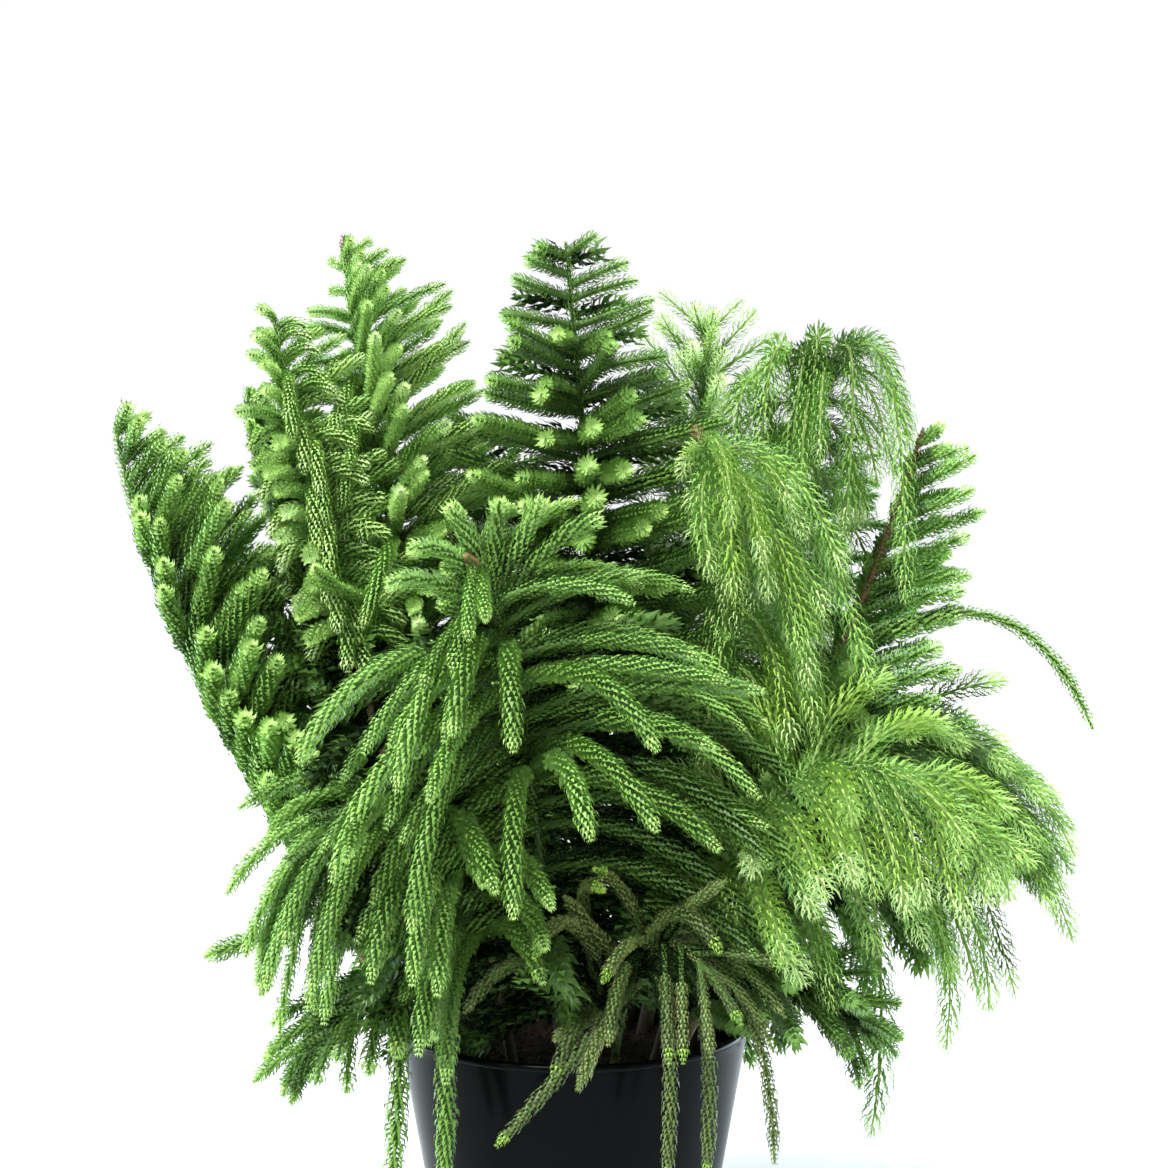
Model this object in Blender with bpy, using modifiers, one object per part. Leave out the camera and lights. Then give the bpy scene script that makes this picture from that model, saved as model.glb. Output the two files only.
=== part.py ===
"""A bunch of cut Norfolk Island pine boughs standing in a tapered dark pot.

Units are metres, +Z is up, and the origin is the centre of the pot's flat underside.
-Y is the front. Each bough is a tapering limb that ends where it enters its own foliage.
Its foliage is one closed, uneven solid, or two where its two rows hang apart. A mass is
the skin round the bough's shoot and its side shoots, so it has the outline, the ragged
edge and the furthest tips of the bough.
"""

import math
import random
from dataclasses import dataclass

import bmesh
import bpy
from mathutils import Vector

# The pot: round, tapered and thin-walled, with a flat foot and a plain rim.
POT_HEIGHT = 0.260
POT_RIM_RADIUS = 0.131
POT_FOOT_RADIUS = 0.083
POT_WALL = 0.003
POT_EDGE_RADIUS = 0.004
POT_STEPS = 28
KEEP_OUT = 0.0015

ARC_STEPS = 4
FOOT_ARC_STEPS = 3

# The dark fill that the limbs stand in, and how deep they reach into it. Its top is a low
# dome: its middle stands higher than FILL_TOP, and its edge lower.
FILL_TOP = 0.235
FILL_RISE = 0.006
FILL_SHOULDER_RISE = 0.003
FILL_SHOULDER_SHARE = 0.6
FILL_EDGE_DROP = 0.004
FILL_GAP = 0.0004
BORE_GAP = 0.0006
LIMB_FOOT = 0.185

# Limbs: points along each, the thickness of the end inside the foliage as a share of the
# foot's, and how far that end reaches into the foliage.
LIMB_POINTS = 6
LIMB_END_SHARE = 0.60
LIMB_REACH = 0.012
CURVE_STEPS = 48

# Foliage: the distance between side shoots, the steps along each, more where it droops
# strongly, how much shorter every other one is, and how much their lengths vary.
SHOOT_SPACING = 0.040
SHOOT_STEPS = 3
ARCHED_STEPS = 4
ARCHED_DROOP = 2.0
SHORTER_SHARE = 0.80
SHORTEST_SHOOT = 0.014
SIZE_RANGE = (0.92, 1.06)
FEWEST_SHOOTS = 4
STRAND_STEPS = 7
STRAND_SHARE = 0.8

# How far a mass stays off the masses before it, and what counts as one point, as flat and
# as a sharp edge.
GUARD = 0.0025
PUSH = 0.0010
SMALLEST_EDGE = 0.00002
TURN_WELD = 0.00005
FLAT_ANGLE = math.radians(3.0)
SHARP_ANGLE = math.radians(40.0)

DOWN = Vector((0.0, 0.0, -1.0))

# Colours of the surfaces.
POT_BLACK = (0.020, 0.023, 0.028)
FILL_BROWN = (0.030, 0.022, 0.015)
BARK_BROWN = (0.150, 0.110, 0.060)
DEEP_GREEN = (0.050, 0.160, 0.030)
MID_GREEN = (0.110, 0.270, 0.055)
SOFT_GREEN = (0.160, 0.400, 0.080)
BRIGHT_GREEN = (0.300, 0.480, 0.070)
OLIVE_GREEN = (0.150, 0.220, 0.070)


@dataclass(frozen=True)
class Bough:
    """One bough. Its curve leaves the fill at foot, steers by knee and bend, and ends at
    tip. Its lower, bare share is the limb. Above that it carries two rows of side shoots,
    which stand out to both sides of its upper face. Angles are in degrees."""

    name: str
    foot: tuple
    knee: tuple
    bend: tuple
    tip: tuple
    face: tuple
    colour: tuple
    bare: float = 0.45
    longest: float = 0.12
    angles: tuple = (50, 65)
    lift: float = 10
    droop: tuple = (0.5, 0.5)
    peak: float = 0.5
    tip_share: float = 0.4
    foot_share: float = 0.9
    limb_radius: float = 0.0050
    shoot_radius: float = 0.0125
    row_sizes: tuple = (1.0, 1.0)
    rows_apart: bool = False
    strands: tuple = ()


# A strand is a long single shoot: the share of the bough where it leaves, the point that
# it bends towards, and its tip.
BOUGHS = (
    Bough("left", (-0.062, -0.005), (-0.140, -0.010, 0.28), (-0.305, -0.010, 0.50),
          (-0.341, -0.010, 0.705), (1, -0.15, 0), MID_GREEN, bare=0.30, angles=(60, 75),
          lift=58, droop=(0, 0), peak=0.45, tip_share=0.18, foot_share=0.8,
          limb_radius=0.0060),
    Bough("upper_left", (-0.036, 0.030), (-0.090, 0.030, 0.42), (-0.160, 0.025, 0.68),
          (-0.174, 0.020, 0.842), (0.95, -0.35, 0), SOFT_GREEN, bare=0.50, longest=0.095,
          angles=(55, 75), lift=48, droop=(0.2, 0.2), tip_share=0.22, limb_radius=0.0060),
    Bough("inner_left", (-0.052, -0.024), (-0.110, -0.020, 0.38), (-0.200, -0.020, 0.62),
          (-0.222, -0.015, 0.785), (0.6, -0.8, 0), SOFT_GREEN, bare=0.50, longest=0.060,
          angles=(40, 60), lift=40, droop=(1.8, 1.0), peak=0.45, tip_share=0.30),
    Bough("outer_left", (-0.066, 0.028), (-0.120, 0.030, 0.36), (-0.220, 0.020, 0.58),
          (-0.246, 0.010, 0.718), (1, -0.3, 0), MID_GREEN, bare=0.48, longest=0.060,
          angles=(40, 60), lift=40, droop=(0.2, 0.1), tip_share=0.35),
    Bough("centre", (0.008, 0.030), (0.022, 0.040, 0.42), (0.015, 0.040, 0.66),
          (-0.006, 0.035, 0.848), (0.05, -1, 0), MID_GREEN, bare=0.46, longest=0.130,
          angles=(66, 80), lift=30, droop=(0, 0), peak=0.72, tip_share=0.22,
          foot_share=0.8, limb_radius=0.0060),
    Bough("back_right", (0.034, 0.062), (0.070, 0.100, 0.42), (0.105, 0.130, 0.66),
          (0.107, 0.120, 0.795), (0, -1, 0), SOFT_GREEN, bare=0.48, longest=0.100,
          angles=(40, 60), droop=(0.2, 0.2), peak=0.4, tip_share=0.45, foot_share=0.8),
    Bough("nodding", (0.055, 0.012), (0.105, -0.010, 0.42), (0.155, -0.030, 0.61),
          (0.090, -0.085, 0.690), (0.5, 0.0, 1.0), BRIGHT_GREEN, bare=0.56,
          longest=0.150, angles=(60, 80), droop=(2.6, 2.6), peak=0.35, tip_share=0.8,
          row_sizes=(0.45, 1.0)),
    Bough("right", (0.074, 0.018), (0.120, 0.030, 0.36), (0.215, 0.030, 0.53),
          (0.268, 0.030, 0.705), (0.9, -0.4, 0), MID_GREEN, bare=0.42, longest=0.100,
          angles=(50, 60), lift=30, droop=(0.2, 0), peak=0.6, tip_share=0.3,
          foot_share=1.0, limb_radius=0.0060,
          strands=((0.66, (0.335, 0.010, 0.620), (0.388, -0.005, 0.478)),)),
    Bough("side_right", (0.072, -0.012), (0.120, 0.000, 0.40), (0.210, 0.000, 0.58),
          (0.340, -0.010, 0.400), (0.2, -0.3, 1), SOFT_GREEN, bare=0.46,
          angles=(30, 45), lift=5, droop=(0.9, 0.9), tip_share=0.5, foot_share=1.0,
          strands=((0.80, (0.335, -0.020, 0.430), (0.366, -0.030, 0.325)),)),
    Bough("bright", (0.046, -0.048), (0.090, -0.090, 0.40), (0.165, -0.120, 0.55),
          (0.285, -0.140, 0.400), (0, -0.4, 1), BRIGHT_GREEN, bare=0.44, longest=0.115,
          angles=(60, 75), lift=5, droop=(1.6, 2.4), tip_share=0.3),
    Bough("low_right", (0.066, -0.032), (0.115, -0.035, 0.36), (0.195, -0.035, 0.46),
          (0.265, -0.035, 0.365), (0, 0, 1), SOFT_GREEN, bare=0.40, longest=0.130,
          angles=(45, 60), lift=5, droop=(2.4, 2.4), tip_share=0.7,
          strands=((0.80, (0.230, -0.070, 0.300), (0.212, -0.070, 0.195)),)),
    Bough("front", (0.000, -0.058), (-0.020, -0.095, 0.38), (-0.035, -0.125, 0.56),
          (-0.065, -0.175, 0.600), (0, -0.7, 0.7), MID_GREEN, bare=0.40, longest=0.215,
          angles=(62, 78), lift=12, droop=(1.9, 0.9), peak=0.55, tip_share=0.35,
          foot_share=0.8, limb_radius=0.0060, shoot_radius=0.0140, rows_apart=True),
    Bough("low_left", (-0.034, -0.052), (-0.060, -0.090, 0.38), (-0.095, -0.120, 0.48),
          (-0.170, -0.140, 0.400), (0, -0.3, 1), MID_GREEN, bare=0.44, longest=0.200,
          angles=(30, 50), lift=5, droop=(1.8, 1.8), tip_share=0.8, shoot_radius=0.0135,
          strands=((0.70, (-0.200, -0.110, 0.345), (-0.252, -0.110, 0.330)),)),
    Bough("olive", (0.024, -0.074), (0.030, -0.100, 0.31), (0.050, -0.130, 0.38),
          (0.090, -0.165, 0.330), (0, -0.3, 1), OLIVE_GREEN, bare=0.40, longest=0.120,
          angles=(40, 70), lift=5, droop=(2.4, 2.4), tip_share=0.7, limb_radius=0.0045),
    Bough("rim_right", (0.058, -0.058), (0.080, -0.070, 0.31), (0.130, -0.090, 0.34),
          (0.205, -0.100, 0.275), (0, -0.2, 1), DEEP_GREEN, bare=0.46, longest=0.080,
          angles=(40, 55), lift=5, droop=(0.8, 0.8), limb_radius=0.0045),
    Bough("rim_left", (-0.056, -0.042), (-0.076, -0.070, 0.31), (-0.110, -0.105, 0.35),
          (-0.165, -0.120, 0.270), (0, -0.2, 1), MID_GREEN, bare=0.46, longest=0.110,
          angles=(40, 55), lift=5, droop=(1.4, 1.4), tip_share=0.6, limb_radius=0.0045),
    Bough("back_left", (-0.044, 0.060), (-0.080, 0.120, 0.42), (-0.130, 0.180, 0.54),
          (-0.190, 0.230, 0.560), (0, 0, 1), DEEP_GREEN, bare=0.40, angles=(50, 70),
          lift=15, droop=(0.8, 0.8), peak=0.6, tip_share=0.3, foot_share=0.8),
    Bough("back", (0.000, 0.074), (0.005, 0.130, 0.42), (0.010, 0.200, 0.56),
          (0.005, 0.280, 0.600), (0, 0, 1), DEEP_GREEN, bare=0.40, longest=0.130,
          angles=(50, 70), lift=15, droop=(0.8, 0.8), peak=0.6, tip_share=0.3,
          foot_share=0.8),
    Bough("back_side", (0.058, 0.050), (0.110, 0.110, 0.40), (0.170, 0.170, 0.52),
          (0.240, 0.210, 0.500), (0, 0, 1), DEEP_GREEN, bare=0.40, angles=(50, 70),
          droop=(1.6, 1.6), peak=0.6, foot_share=0.8),
    Bough("inner_back", (-0.020, 0.052), (-0.040, 0.100, 0.40), (-0.070, 0.140, 0.58),
          (-0.075, 0.130, 0.715), (0.3, -1, 0), DEEP_GREEN, bare=0.50, longest=0.100,
          angles=(55, 75), droop=(0.3, 0.3), tip_share=0.3),
    Bough("outer_back", (0.062, 0.036), (0.110, 0.080, 0.40), (0.180, 0.130, 0.56),
          (0.205, 0.135, 0.700), (-0.4, -0.6, 0.3), DEEP_GREEN, bare=0.48,
          longest=0.100, angles=(50, 70), droop=(0.8, 0.8), tip_share=0.4),
    Bough("weeping", (0.044, 0.036), (0.090, 0.060, 0.44), (0.160, 0.065, 0.66),
          (0.205, 0.030, 0.760), (0.1, -1, 0.2), SOFT_GREEN, bare=0.56, longest=0.190,
          angles=(50, 70), lift=50, droop=(3.2, 3.2), peak=0.35, tip_share=0.75,
          rows_apart=True, limb_radius=0.0060),
)


def clear_scene():
    """Remove every object that the file opens with."""
    for thing in list(bpy.data.objects):
        bpy.data.objects.remove(thing, do_unlink=True)


def new_collection(name):
    """Make a collection in the scene."""
    collection = bpy.data.collections.new(name)
    bpy.context.scene.collection.children.link(collection)
    return collection


def make_material(name, colour, roughness):
    """Make a plain Principled material."""
    material = bpy.data.materials.new(name)
    material.use_nodes = True
    shader = material.node_tree.nodes["Principled BSDF"]
    shader.inputs["Base Color"].default_value = (*colour, 1.0)
    shader.inputs["Roughness"].default_value = roughness
    shader.inputs["Metallic"].default_value = 0.0
    return material


def place_mesh(name, mesh, collection):
    """Give a mesh an object in a collection."""
    thing = bpy.data.objects.new(name, mesh)
    collection.objects.link(thing)
    return thing


def evaluated_mesh(thing):
    """The mesh that an object shows once its modifiers or bevel are worked out."""
    bpy.context.view_layer.update()
    graph = bpy.context.evaluated_depsgraph_get()
    return bpy.data.meshes.new_from_object(thing.evaluated_get(graph))


def clean(mesh, flat=0.0):
    """Weld stray doubles, join faces within an angle of flat, and split into triangles."""
    bm = bmesh.new()
    bm.from_mesh(mesh)
    bmesh.ops.remove_doubles(bm, verts=bm.verts, dist=SMALLEST_EDGE)
    bmesh.ops.dissolve_degenerate(bm, dist=SMALLEST_EDGE, edges=bm.edges)
    if flat:
        bmesh.ops.dissolve_limit(bm, angle_limit=flat, verts=bm.verts, edges=bm.edges)
    bmesh.ops.triangulate(bm, faces=bm.faces)
    bmesh.ops.recalc_face_normals(bm, faces=bm.faces)
    bm.to_mesh(mesh)
    bm.free()


def point_on(bough, share):
    """The point at a share of a bough's curve parameter."""
    rest = 1.0 - share
    foot = Vector((*bough.foot, LIMB_FOOT))
    knee = Vector(bough.knee) * 3.0 * rest * rest * share
    bend = Vector(bough.bend) * 3.0 * rest * share * share
    return foot * rest ** 3 + knee + bend + Vector(bough.tip) * share ** 3


class Route:
    """A bough's curve, read by the distance along it."""

    def __init__(self, bough):
        self.points = [point_on(bough, step / CURVE_STEPS) for step in range(CURVE_STEPS + 1)]
        self.marks = [0.0]
        for here, there in zip(self.points, self.points[1:]):
            self.marks.append(self.marks[-1] + (there - here).length)
        self.length = self.marks[-1]

    def at(self, distance):
        """The point and the direction at a distance from the foot."""
        step = 0
        while step < CURVE_STEPS - 1 and self.marks[step + 1] < distance:
            step += 1
        here = self.points[step]
        there = self.points[step + 1]
        share = (distance - self.marks[step]) / (self.marks[step + 1] - self.marks[step])
        return here.lerp(there, share), (there - here).normalized()


def shoot_share(bough, from_tip):
    """How long a side shoot is, as a share of the longest, by its place from the tip."""
    if from_tip < bough.peak:
        rise = math.sin(math.pi / 2.0 * from_tip / bough.peak)
        return bough.tip_share + (1.0 - bough.tip_share) * rise
    fall = (from_tip - bough.peak) / (1.0 - bough.peak)
    return 1.0 - (1.0 - bough.foot_share) * fall ** 2


def side_shoot(bough, route, distance, row, size):
    """The points of one side shoot, which leaves the bough and bends under its weight."""
    start, along = route.at(distance)
    face = Vector(bough.face)
    face = (face - along * face.dot(along)).normalized()
    side = along.cross(face) * (1.0 - 2.0 * row)
    from_tip = (route.length - distance) / (route.length * (1.0 - bough.bare))
    tip_angle, foot_angle = bough.angles
    angle = math.radians(tip_angle + (foot_angle - tip_angle) * from_tip)
    lift = math.radians(bough.lift)
    outward = side * math.cos(lift) + face * math.sin(lift)
    heading = along * math.cos(angle) + outward * math.sin(angle)
    length = bough.longest * bough.row_sizes[row] * shoot_share(bough, from_tip) * size
    length = max(length, SHORTEST_SHOOT)
    steps = ARCHED_STEPS if bough.droop[row] > ARCHED_DROOP else SHOOT_STEPS
    points = [start]
    for _ in range(steps):
        heading = (heading + DOWN * bough.droop[row] / steps).normalized()
        points.append(points[-1] + heading * length / steps)
    return points


def strand_points(route, strand):
    """The points of a long single shoot, an arc from the bough to its tip."""
    share, over, tip = strand
    start, _ = route.at(route.length * share)
    points = []
    for step in range(STRAND_STEPS + 1):
        part = step / STRAND_STEPS
        first = start.lerp(Vector(over), part)
        points.append(first.lerp(Vector(over).lerp(Vector(tip), part), part))
    return points


def tubes(name, lines, collection, sides_level):
    """Round tubes along lines of (point, radius), with closed ends, as one welded mesh."""
    curve = bpy.data.curves.new(name, "CURVE")
    curve.dimensions = "3D"
    curve.bevel_depth = 1.0
    curve.bevel_resolution = sides_level
    curve.use_fill_caps = True
    for line in lines:
        spline = curve.splines.new("POLY")
        spline.points.add(len(line) - 1)
        for knot, (point, radius) in zip(spline.points, line):
            knot.co = (*point, 1.0)
            knot.radius = radius
    drawn = place_mesh(name + "_curve", curve, collection)
    mesh = evaluated_mesh(drawn)
    bpy.data.objects.remove(drawn, do_unlink=True)
    bpy.data.curves.remove(curve)
    mesh.name = name
    bm = bmesh.new()
    bm.from_mesh(mesh)
    bmesh.ops.remove_doubles(bm, verts=bm.verts, dist=SMALLEST_EDGE)
    bm.to_mesh(mesh)
    bm.free()
    return place_mesh(name, mesh, collection)


def limb_tube(name, bough, route, collection, extra=0.0):
    """The limb's tapering tube, from inside the fill to just inside its foliage."""
    last = route.length * bough.bare + LIMB_REACH
    line = []
    for step in range(LIMB_POINTS):
        part = step / (LIMB_POINTS - 1)
        point, along = route.at(last * part)
        if step == 0:
            point = point - along * extra
        if step == LIMB_POINTS - 1:
            point = point + along * extra
        radius = bough.limb_radius * (1.0 - (1.0 - LIMB_END_SHARE) * part)
        line.append((point, radius + extra))
    return tubes(name, [line], collection, 1)


def foliage_rows(bough, route, rows):
    """Rows of points that run over a bough from the tip of one side shoot to the other."""
    chance = random.Random(bough.name)
    first = route.length * bough.bare
    count = max(FEWEST_SHOOTS, round((route.length - first) / SHOOT_SPACING))
    lines = []
    for step in range(count + 1):
        distance = first + (route.length - first) * step / count
        sides = []
        for row in (0, 1):
            size = chance.uniform(*SIZE_RANGE) * (1.0, SHORTER_SHARE)[(step + row) % 2]
            sides.append(side_shoot(bough, route, distance, row, size))
        line = [sides[0][0]]
        if 1 in rows:
            line = list(reversed(sides[1]))
        if 0 in rows:
            line += sides[0][1:]
        lines.append(line)
    return lines


def stretched(lines, reach):
    """The rows of points with the edge of their sheet drawn outward all round."""
    lines = [[point.copy() for point in line] for line in lines]
    for edge, inner in ((0, 1), (-1, -2)):
        for end, near in zip(lines[edge], lines[inner]):
            end += (end - near).normalized() * reach
        for line in lines:
            line[edge] += (line[edge] - line[inner]).normalized() * reach
    return lines


def foliage_mass(name, bough, route, rows, collection, extra=0.0):
    """One closed, uneven solid: a ragged sheet of side shoots with their thickness."""
    lines = stretched(foliage_rows(bough, route, rows), 2.0 * extra)
    width = len(lines[0])
    points = [point for line in lines for point in line]
    faces = []
    for step in range(len(lines) - 1):
        for column in range(width - 1):
            corner = step * width + column
            faces.append((corner, corner + 1, corner + width + 1, corner + width))
    mesh = bpy.data.meshes.new(name)
    mesh.from_pydata(points, [], faces)
    thing = place_mesh(name, mesh, collection)
    thick = thing.modifiers.new("Thickness", "SOLIDIFY")
    thick.thickness = 2.0 * (bough.shoot_radius + extra)
    thick.offset = 0.0
    solid = evaluated_mesh(thing)
    thing.modifiers.clear()
    thing.data = solid
    clean(solid)
    return thing


def pushed_copy(thing, collection):
    """A cutter: a copy of a solid, pushed out a little along its normals."""
    mesh = thing.data.copy()
    bm = bmesh.new()
    bm.from_mesh(mesh)
    bm.normal_update()
    moved = [vert.co + vert.normal * PUSH * vert.calc_shell_factor() for vert in bm.verts]
    for vert, place in zip(bm.verts, moved):
        vert.co = place
    bm.to_mesh(mesh)
    bm.free()
    return as_cutter(place_mesh(thing.name + "_pushed", mesh, collection))


def as_cutter(thing):
    """Hide a solid that only cuts others."""
    thing.hide_render = True
    thing.display_type = "WIRE"
    return thing


def boxes_meet(first, second):
    """Whether the boxes of two meshes touch."""
    ends = []
    for thing in (first, second):
        points = [vert.co for vert in thing.data.vertices]
        low = [min(point[axis] for point in points) for axis in range(3)]
        high = [max(point[axis] for point in points) for axis in range(3)]
        ends.append((low, high))
    (low_a, high_a), (low_b, high_b) = ends
    return all(low_a[axis] < high_b[axis] and low_b[axis] < high_a[axis] for axis in range(3))


def cut(thing, cutters, flat=0.0):
    """Take each cutter that comes near out of a solid, and keep its largest piece."""
    for cutter in cutters:
        if boxes_meet(thing, cutter):
            boolean = thing.modifiers.new("Cut", "BOOLEAN")
            boolean.operation = "DIFFERENCE"
            boolean.solver = "MANIFOLD"
            boolean.object = cutter
            mesh = evaluated_mesh(thing)
            thing.modifiers.clear()
            clean(mesh, flat)
            keep_largest(mesh)
            thing.data = mesh


def keep_largest(mesh):
    """Keep the connected piece that encloses the most, and drop the rest."""
    bm = bmesh.new()
    bm.from_mesh(mesh)
    bm.verts.ensure_lookup_table()
    seen = set()
    pieces = []
    for vert in bm.verts:
        if vert in seen:
            continue
        piece = {vert}
        edge = [vert]
        while edge:
            for link in edge.pop().link_edges:
                for other in link.verts:
                    if other not in piece:
                        piece.add(other)
                        edge.append(other)
        seen |= piece
        pieces.append(piece)
    if len(pieces) > 1:
        best = max(pieces, key=piece_volume)
        spare = [vert for vert in bm.verts if vert not in best]
        bmesh.ops.delete(bm, geom=spare, context="VERTS")
    bm.to_mesh(mesh)
    bm.free()


def piece_volume(piece):
    """The volume that a set of joined vertices encloses."""
    faces = {face for vert in piece for face in vert.link_faces}
    total = 0.0
    for face in faces:
        corners = [vert.co for vert in face.verts]
        total += corners[0].dot(corners[1].cross(corners[2])) / 6.0
    return abs(total)


def turned(name, profile, collection):
    """A turned solid from its outline of (radius, height), top of the outer side first."""
    mesh = bpy.data.meshes.new(name)
    points = [(radius, 0.0, height) for radius, height in profile]
    edges = [(step, step + 1) for step in range(len(points) - 1)]
    mesh.from_pydata(points, edges, [])
    thing = place_mesh(name, mesh, collection)
    screw = thing.modifiers.new("Turn", "SCREW")
    screw.steps = POT_STEPS
    screw.render_steps = POT_STEPS
    screw.use_merge_vertices = True
    screw.merge_threshold = TURN_WELD
    screw.use_normal_calculate = False
    mesh = evaluated_mesh(thing)
    thing.modifiers.clear()
    thing.data = mesh
    clean(mesh)
    return thing


def cone_radius(height):
    """The pot's outer radius at a height."""
    return POT_FOOT_RADIUS + (POT_RIM_RADIUS - POT_FOOT_RADIUS) * height / POT_HEIGHT


def rim_arc():
    """The rounded top edge of the pot's wall, from the outside over to the inside."""
    middle = POT_RIM_RADIUS - POT_WALL / 2.0
    radius = POT_WALL / 2.0
    arc = []
    for step in range(ARC_STEPS + 1):
        angle = math.pi * step / ARC_STEPS
        height = POT_HEIGHT - radius + radius * math.sin(angle)
        arc.append((middle + radius * math.cos(angle), height))
    return arc


def foot_arc():
    """The rounded edge between the pot's side and its flat foot."""
    radius = POT_EDGE_RADIUS
    middle = cone_radius(radius) - radius
    arc = []
    for step in range(FOOT_ARC_STEPS + 1):
        angle = math.pi / 2.0 * step / FOOT_ARC_STEPS
        arc.append((middle + radius * math.cos(angle), radius - radius * math.sin(angle)))
    return arc


def make_pot(collection):
    """The pot's shell: down the outer side, across the foot, and up the inside."""
    inner_foot = cone_radius(POT_WALL) - POT_WALL
    over = rim_arc()
    outline = [over[0]] + foot_arc() + [(0.0, 0.0)]
    inside = [(0.0, POT_WALL), (inner_foot - POT_WALL, POT_WALL), (inner_foot, POT_WALL * 2.0)]
    inside += list(reversed(over[1:]))
    return turned("pot", outline + inside + [over[0]], collection)


def make_fill(collection, cutters):
    """The fill: a plug with a slightly domed top, bored for each limb."""
    gap = FILL_GAP + POT_WALL
    low = POT_WALL + FILL_GAP
    top_radius = cone_radius(FILL_TOP) - gap - FILL_GAP
    edge = POT_WALL * 2.0 + FILL_GAP * 2.0
    outline = [
        (0.0, FILL_TOP + FILL_RISE),
        (top_radius * FILL_SHOULDER_SHARE, FILL_TOP + FILL_SHOULDER_RISE),
        (top_radius, FILL_TOP - FILL_EDGE_DROP),
        (cone_radius(edge) - gap - FILL_GAP, edge),
        (cone_radius(low) - gap - POT_WALL - FILL_GAP * 2.0, low),
        (0.0, low),
    ]
    plug = turned("fill", outline, collection)
    cut(plug, cutters)
    return plug


def make_keep_out(collection):
    """A cutter that keeps foliage out of the pot and just off its wall."""
    height = POT_HEIGHT + KEEP_OUT
    outline = [
        (0.0, height),
        (cone_radius(height) + KEEP_OUT, height),
        (cone_radius(0.0) + KEEP_OUT, -KEEP_OUT),
        (0.0, -KEEP_OUT),
    ]
    return as_cutter(turned("pot_room", outline, collection))


def shade(thing, material):
    """Give a solid its material and smooth shading between its sharp edges."""
    thing.data.materials.clear()
    thing.data.materials.append(material)
    thing.data.shade_smooth()
    thing.data.set_sharp_from_angle(angle=SHARP_ANGLE)


def main():
    clear_scene()
    parts = new_collection("norfolk_island_pine")
    cutters = new_collection("cutters")
    bark = make_material("bark", BARK_BROWN, roughness=0.85)
    routes = {bough.name: Route(bough) for bough in BOUGHS}

    bores = []
    for bough in BOUGHS:
        route = routes[bough.name]
        limb = limb_tube(bough.name + "_limb", bough, route, parts)
        clean(limb.data)
        shade(limb, bark)
        bore = limb_tube(bough.name + "_bore", bough, route, cutters, extra=BORE_GAP)
        clean(bore.data)
        bores.append(as_cutter(bore))

    shade(make_pot(parts), make_material("pot_plastic", POT_BLACK, roughness=0.35))
    shade(make_fill(parts, bores), make_material("fill_mix", FILL_BROWN, roughness=0.95))
    room = make_keep_out(cutters)

    earlier = []
    for bough in BOUGHS:
        leaf = make_material(bough.name + "_needles", bough.colour, roughness=0.6)
        groups = [("", (0, 1))]
        if bough.rows_apart:
            groups = [("_right", (0,)), ("_left", (1,))]
        for ending, rows in groups:
            name = bough.name + "_foliage" + ending
            route = routes[bough.name]
            mass = foliage_mass(name, bough, route, rows, parts)
            pushed = pushed_copy(mass, cutters)
            cut(mass, earlier + [room] + bores, FLAT_ANGLE)
            shade(mass, leaf)
            guard = foliage_mass(name + "_guard", bough, route, rows, cutters, GUARD)
            earlier += [as_cutter(guard), pushed]
        for number, strand in enumerate(bough.strands, start=1):
            name = f"{bough.name}_shoot_{number}"
            points = strand_points(routes[bough.name], strand)
            line = [(point, bough.shoot_radius * STRAND_SHARE) for point in points]
            shoot = tubes(name, [line], parts, 1)
            clean(shoot.data)
            cut(shoot, earlier + [room] + bores)
            shade(shoot, leaf)
            wide = [(point, radius + GUARD) for point, radius in line]
            earlier.append(as_cutter(tubes(name + "_guard", [wide], cutters, 1)))


main()
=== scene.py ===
"""The looks of a bunch of cut Norfolk Island pine boughs in a tapered dark pot.

Each bough grows on from its limb. A bark tube with scars runs up its whole curve, rows of
side shoots leave it, and rows of needles cover every shoot. Units are metres, +Z is up, and
-Y is the front.
"""

import math
import random
from dataclasses import dataclass

import bmesh
import bpy
from bpy.props import FloatProperty, FloatVectorProperty, IntProperty, PointerProperty
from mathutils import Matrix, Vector


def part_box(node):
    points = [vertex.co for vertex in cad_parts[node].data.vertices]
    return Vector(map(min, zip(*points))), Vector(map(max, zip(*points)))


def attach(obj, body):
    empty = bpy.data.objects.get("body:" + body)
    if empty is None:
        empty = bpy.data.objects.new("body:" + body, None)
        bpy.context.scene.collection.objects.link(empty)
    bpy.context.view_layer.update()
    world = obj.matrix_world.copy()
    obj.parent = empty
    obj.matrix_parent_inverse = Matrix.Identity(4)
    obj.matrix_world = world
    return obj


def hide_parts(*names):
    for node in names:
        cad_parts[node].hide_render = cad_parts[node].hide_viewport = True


bl_info = {
    "name": "Norfolk Island pine boughs",
    "version": (1, 0, 0),
    "blender": (4, 5, 0),
    "location": "3D View > Sidebar > Boughs",
    "description": "Grows needled pine boughs on limbs that stand in a pot",
    "category": "Object",
}

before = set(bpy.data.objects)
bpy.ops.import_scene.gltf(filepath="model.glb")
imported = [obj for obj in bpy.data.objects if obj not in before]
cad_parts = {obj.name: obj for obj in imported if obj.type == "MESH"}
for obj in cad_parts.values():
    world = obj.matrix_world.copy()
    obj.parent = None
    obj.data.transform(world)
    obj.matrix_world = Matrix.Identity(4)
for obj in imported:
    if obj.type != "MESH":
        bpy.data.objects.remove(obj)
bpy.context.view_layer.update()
POT_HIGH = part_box("pot")[1]
FILL_LOW, FILL_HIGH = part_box("fill")

BODY = "root"

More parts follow.
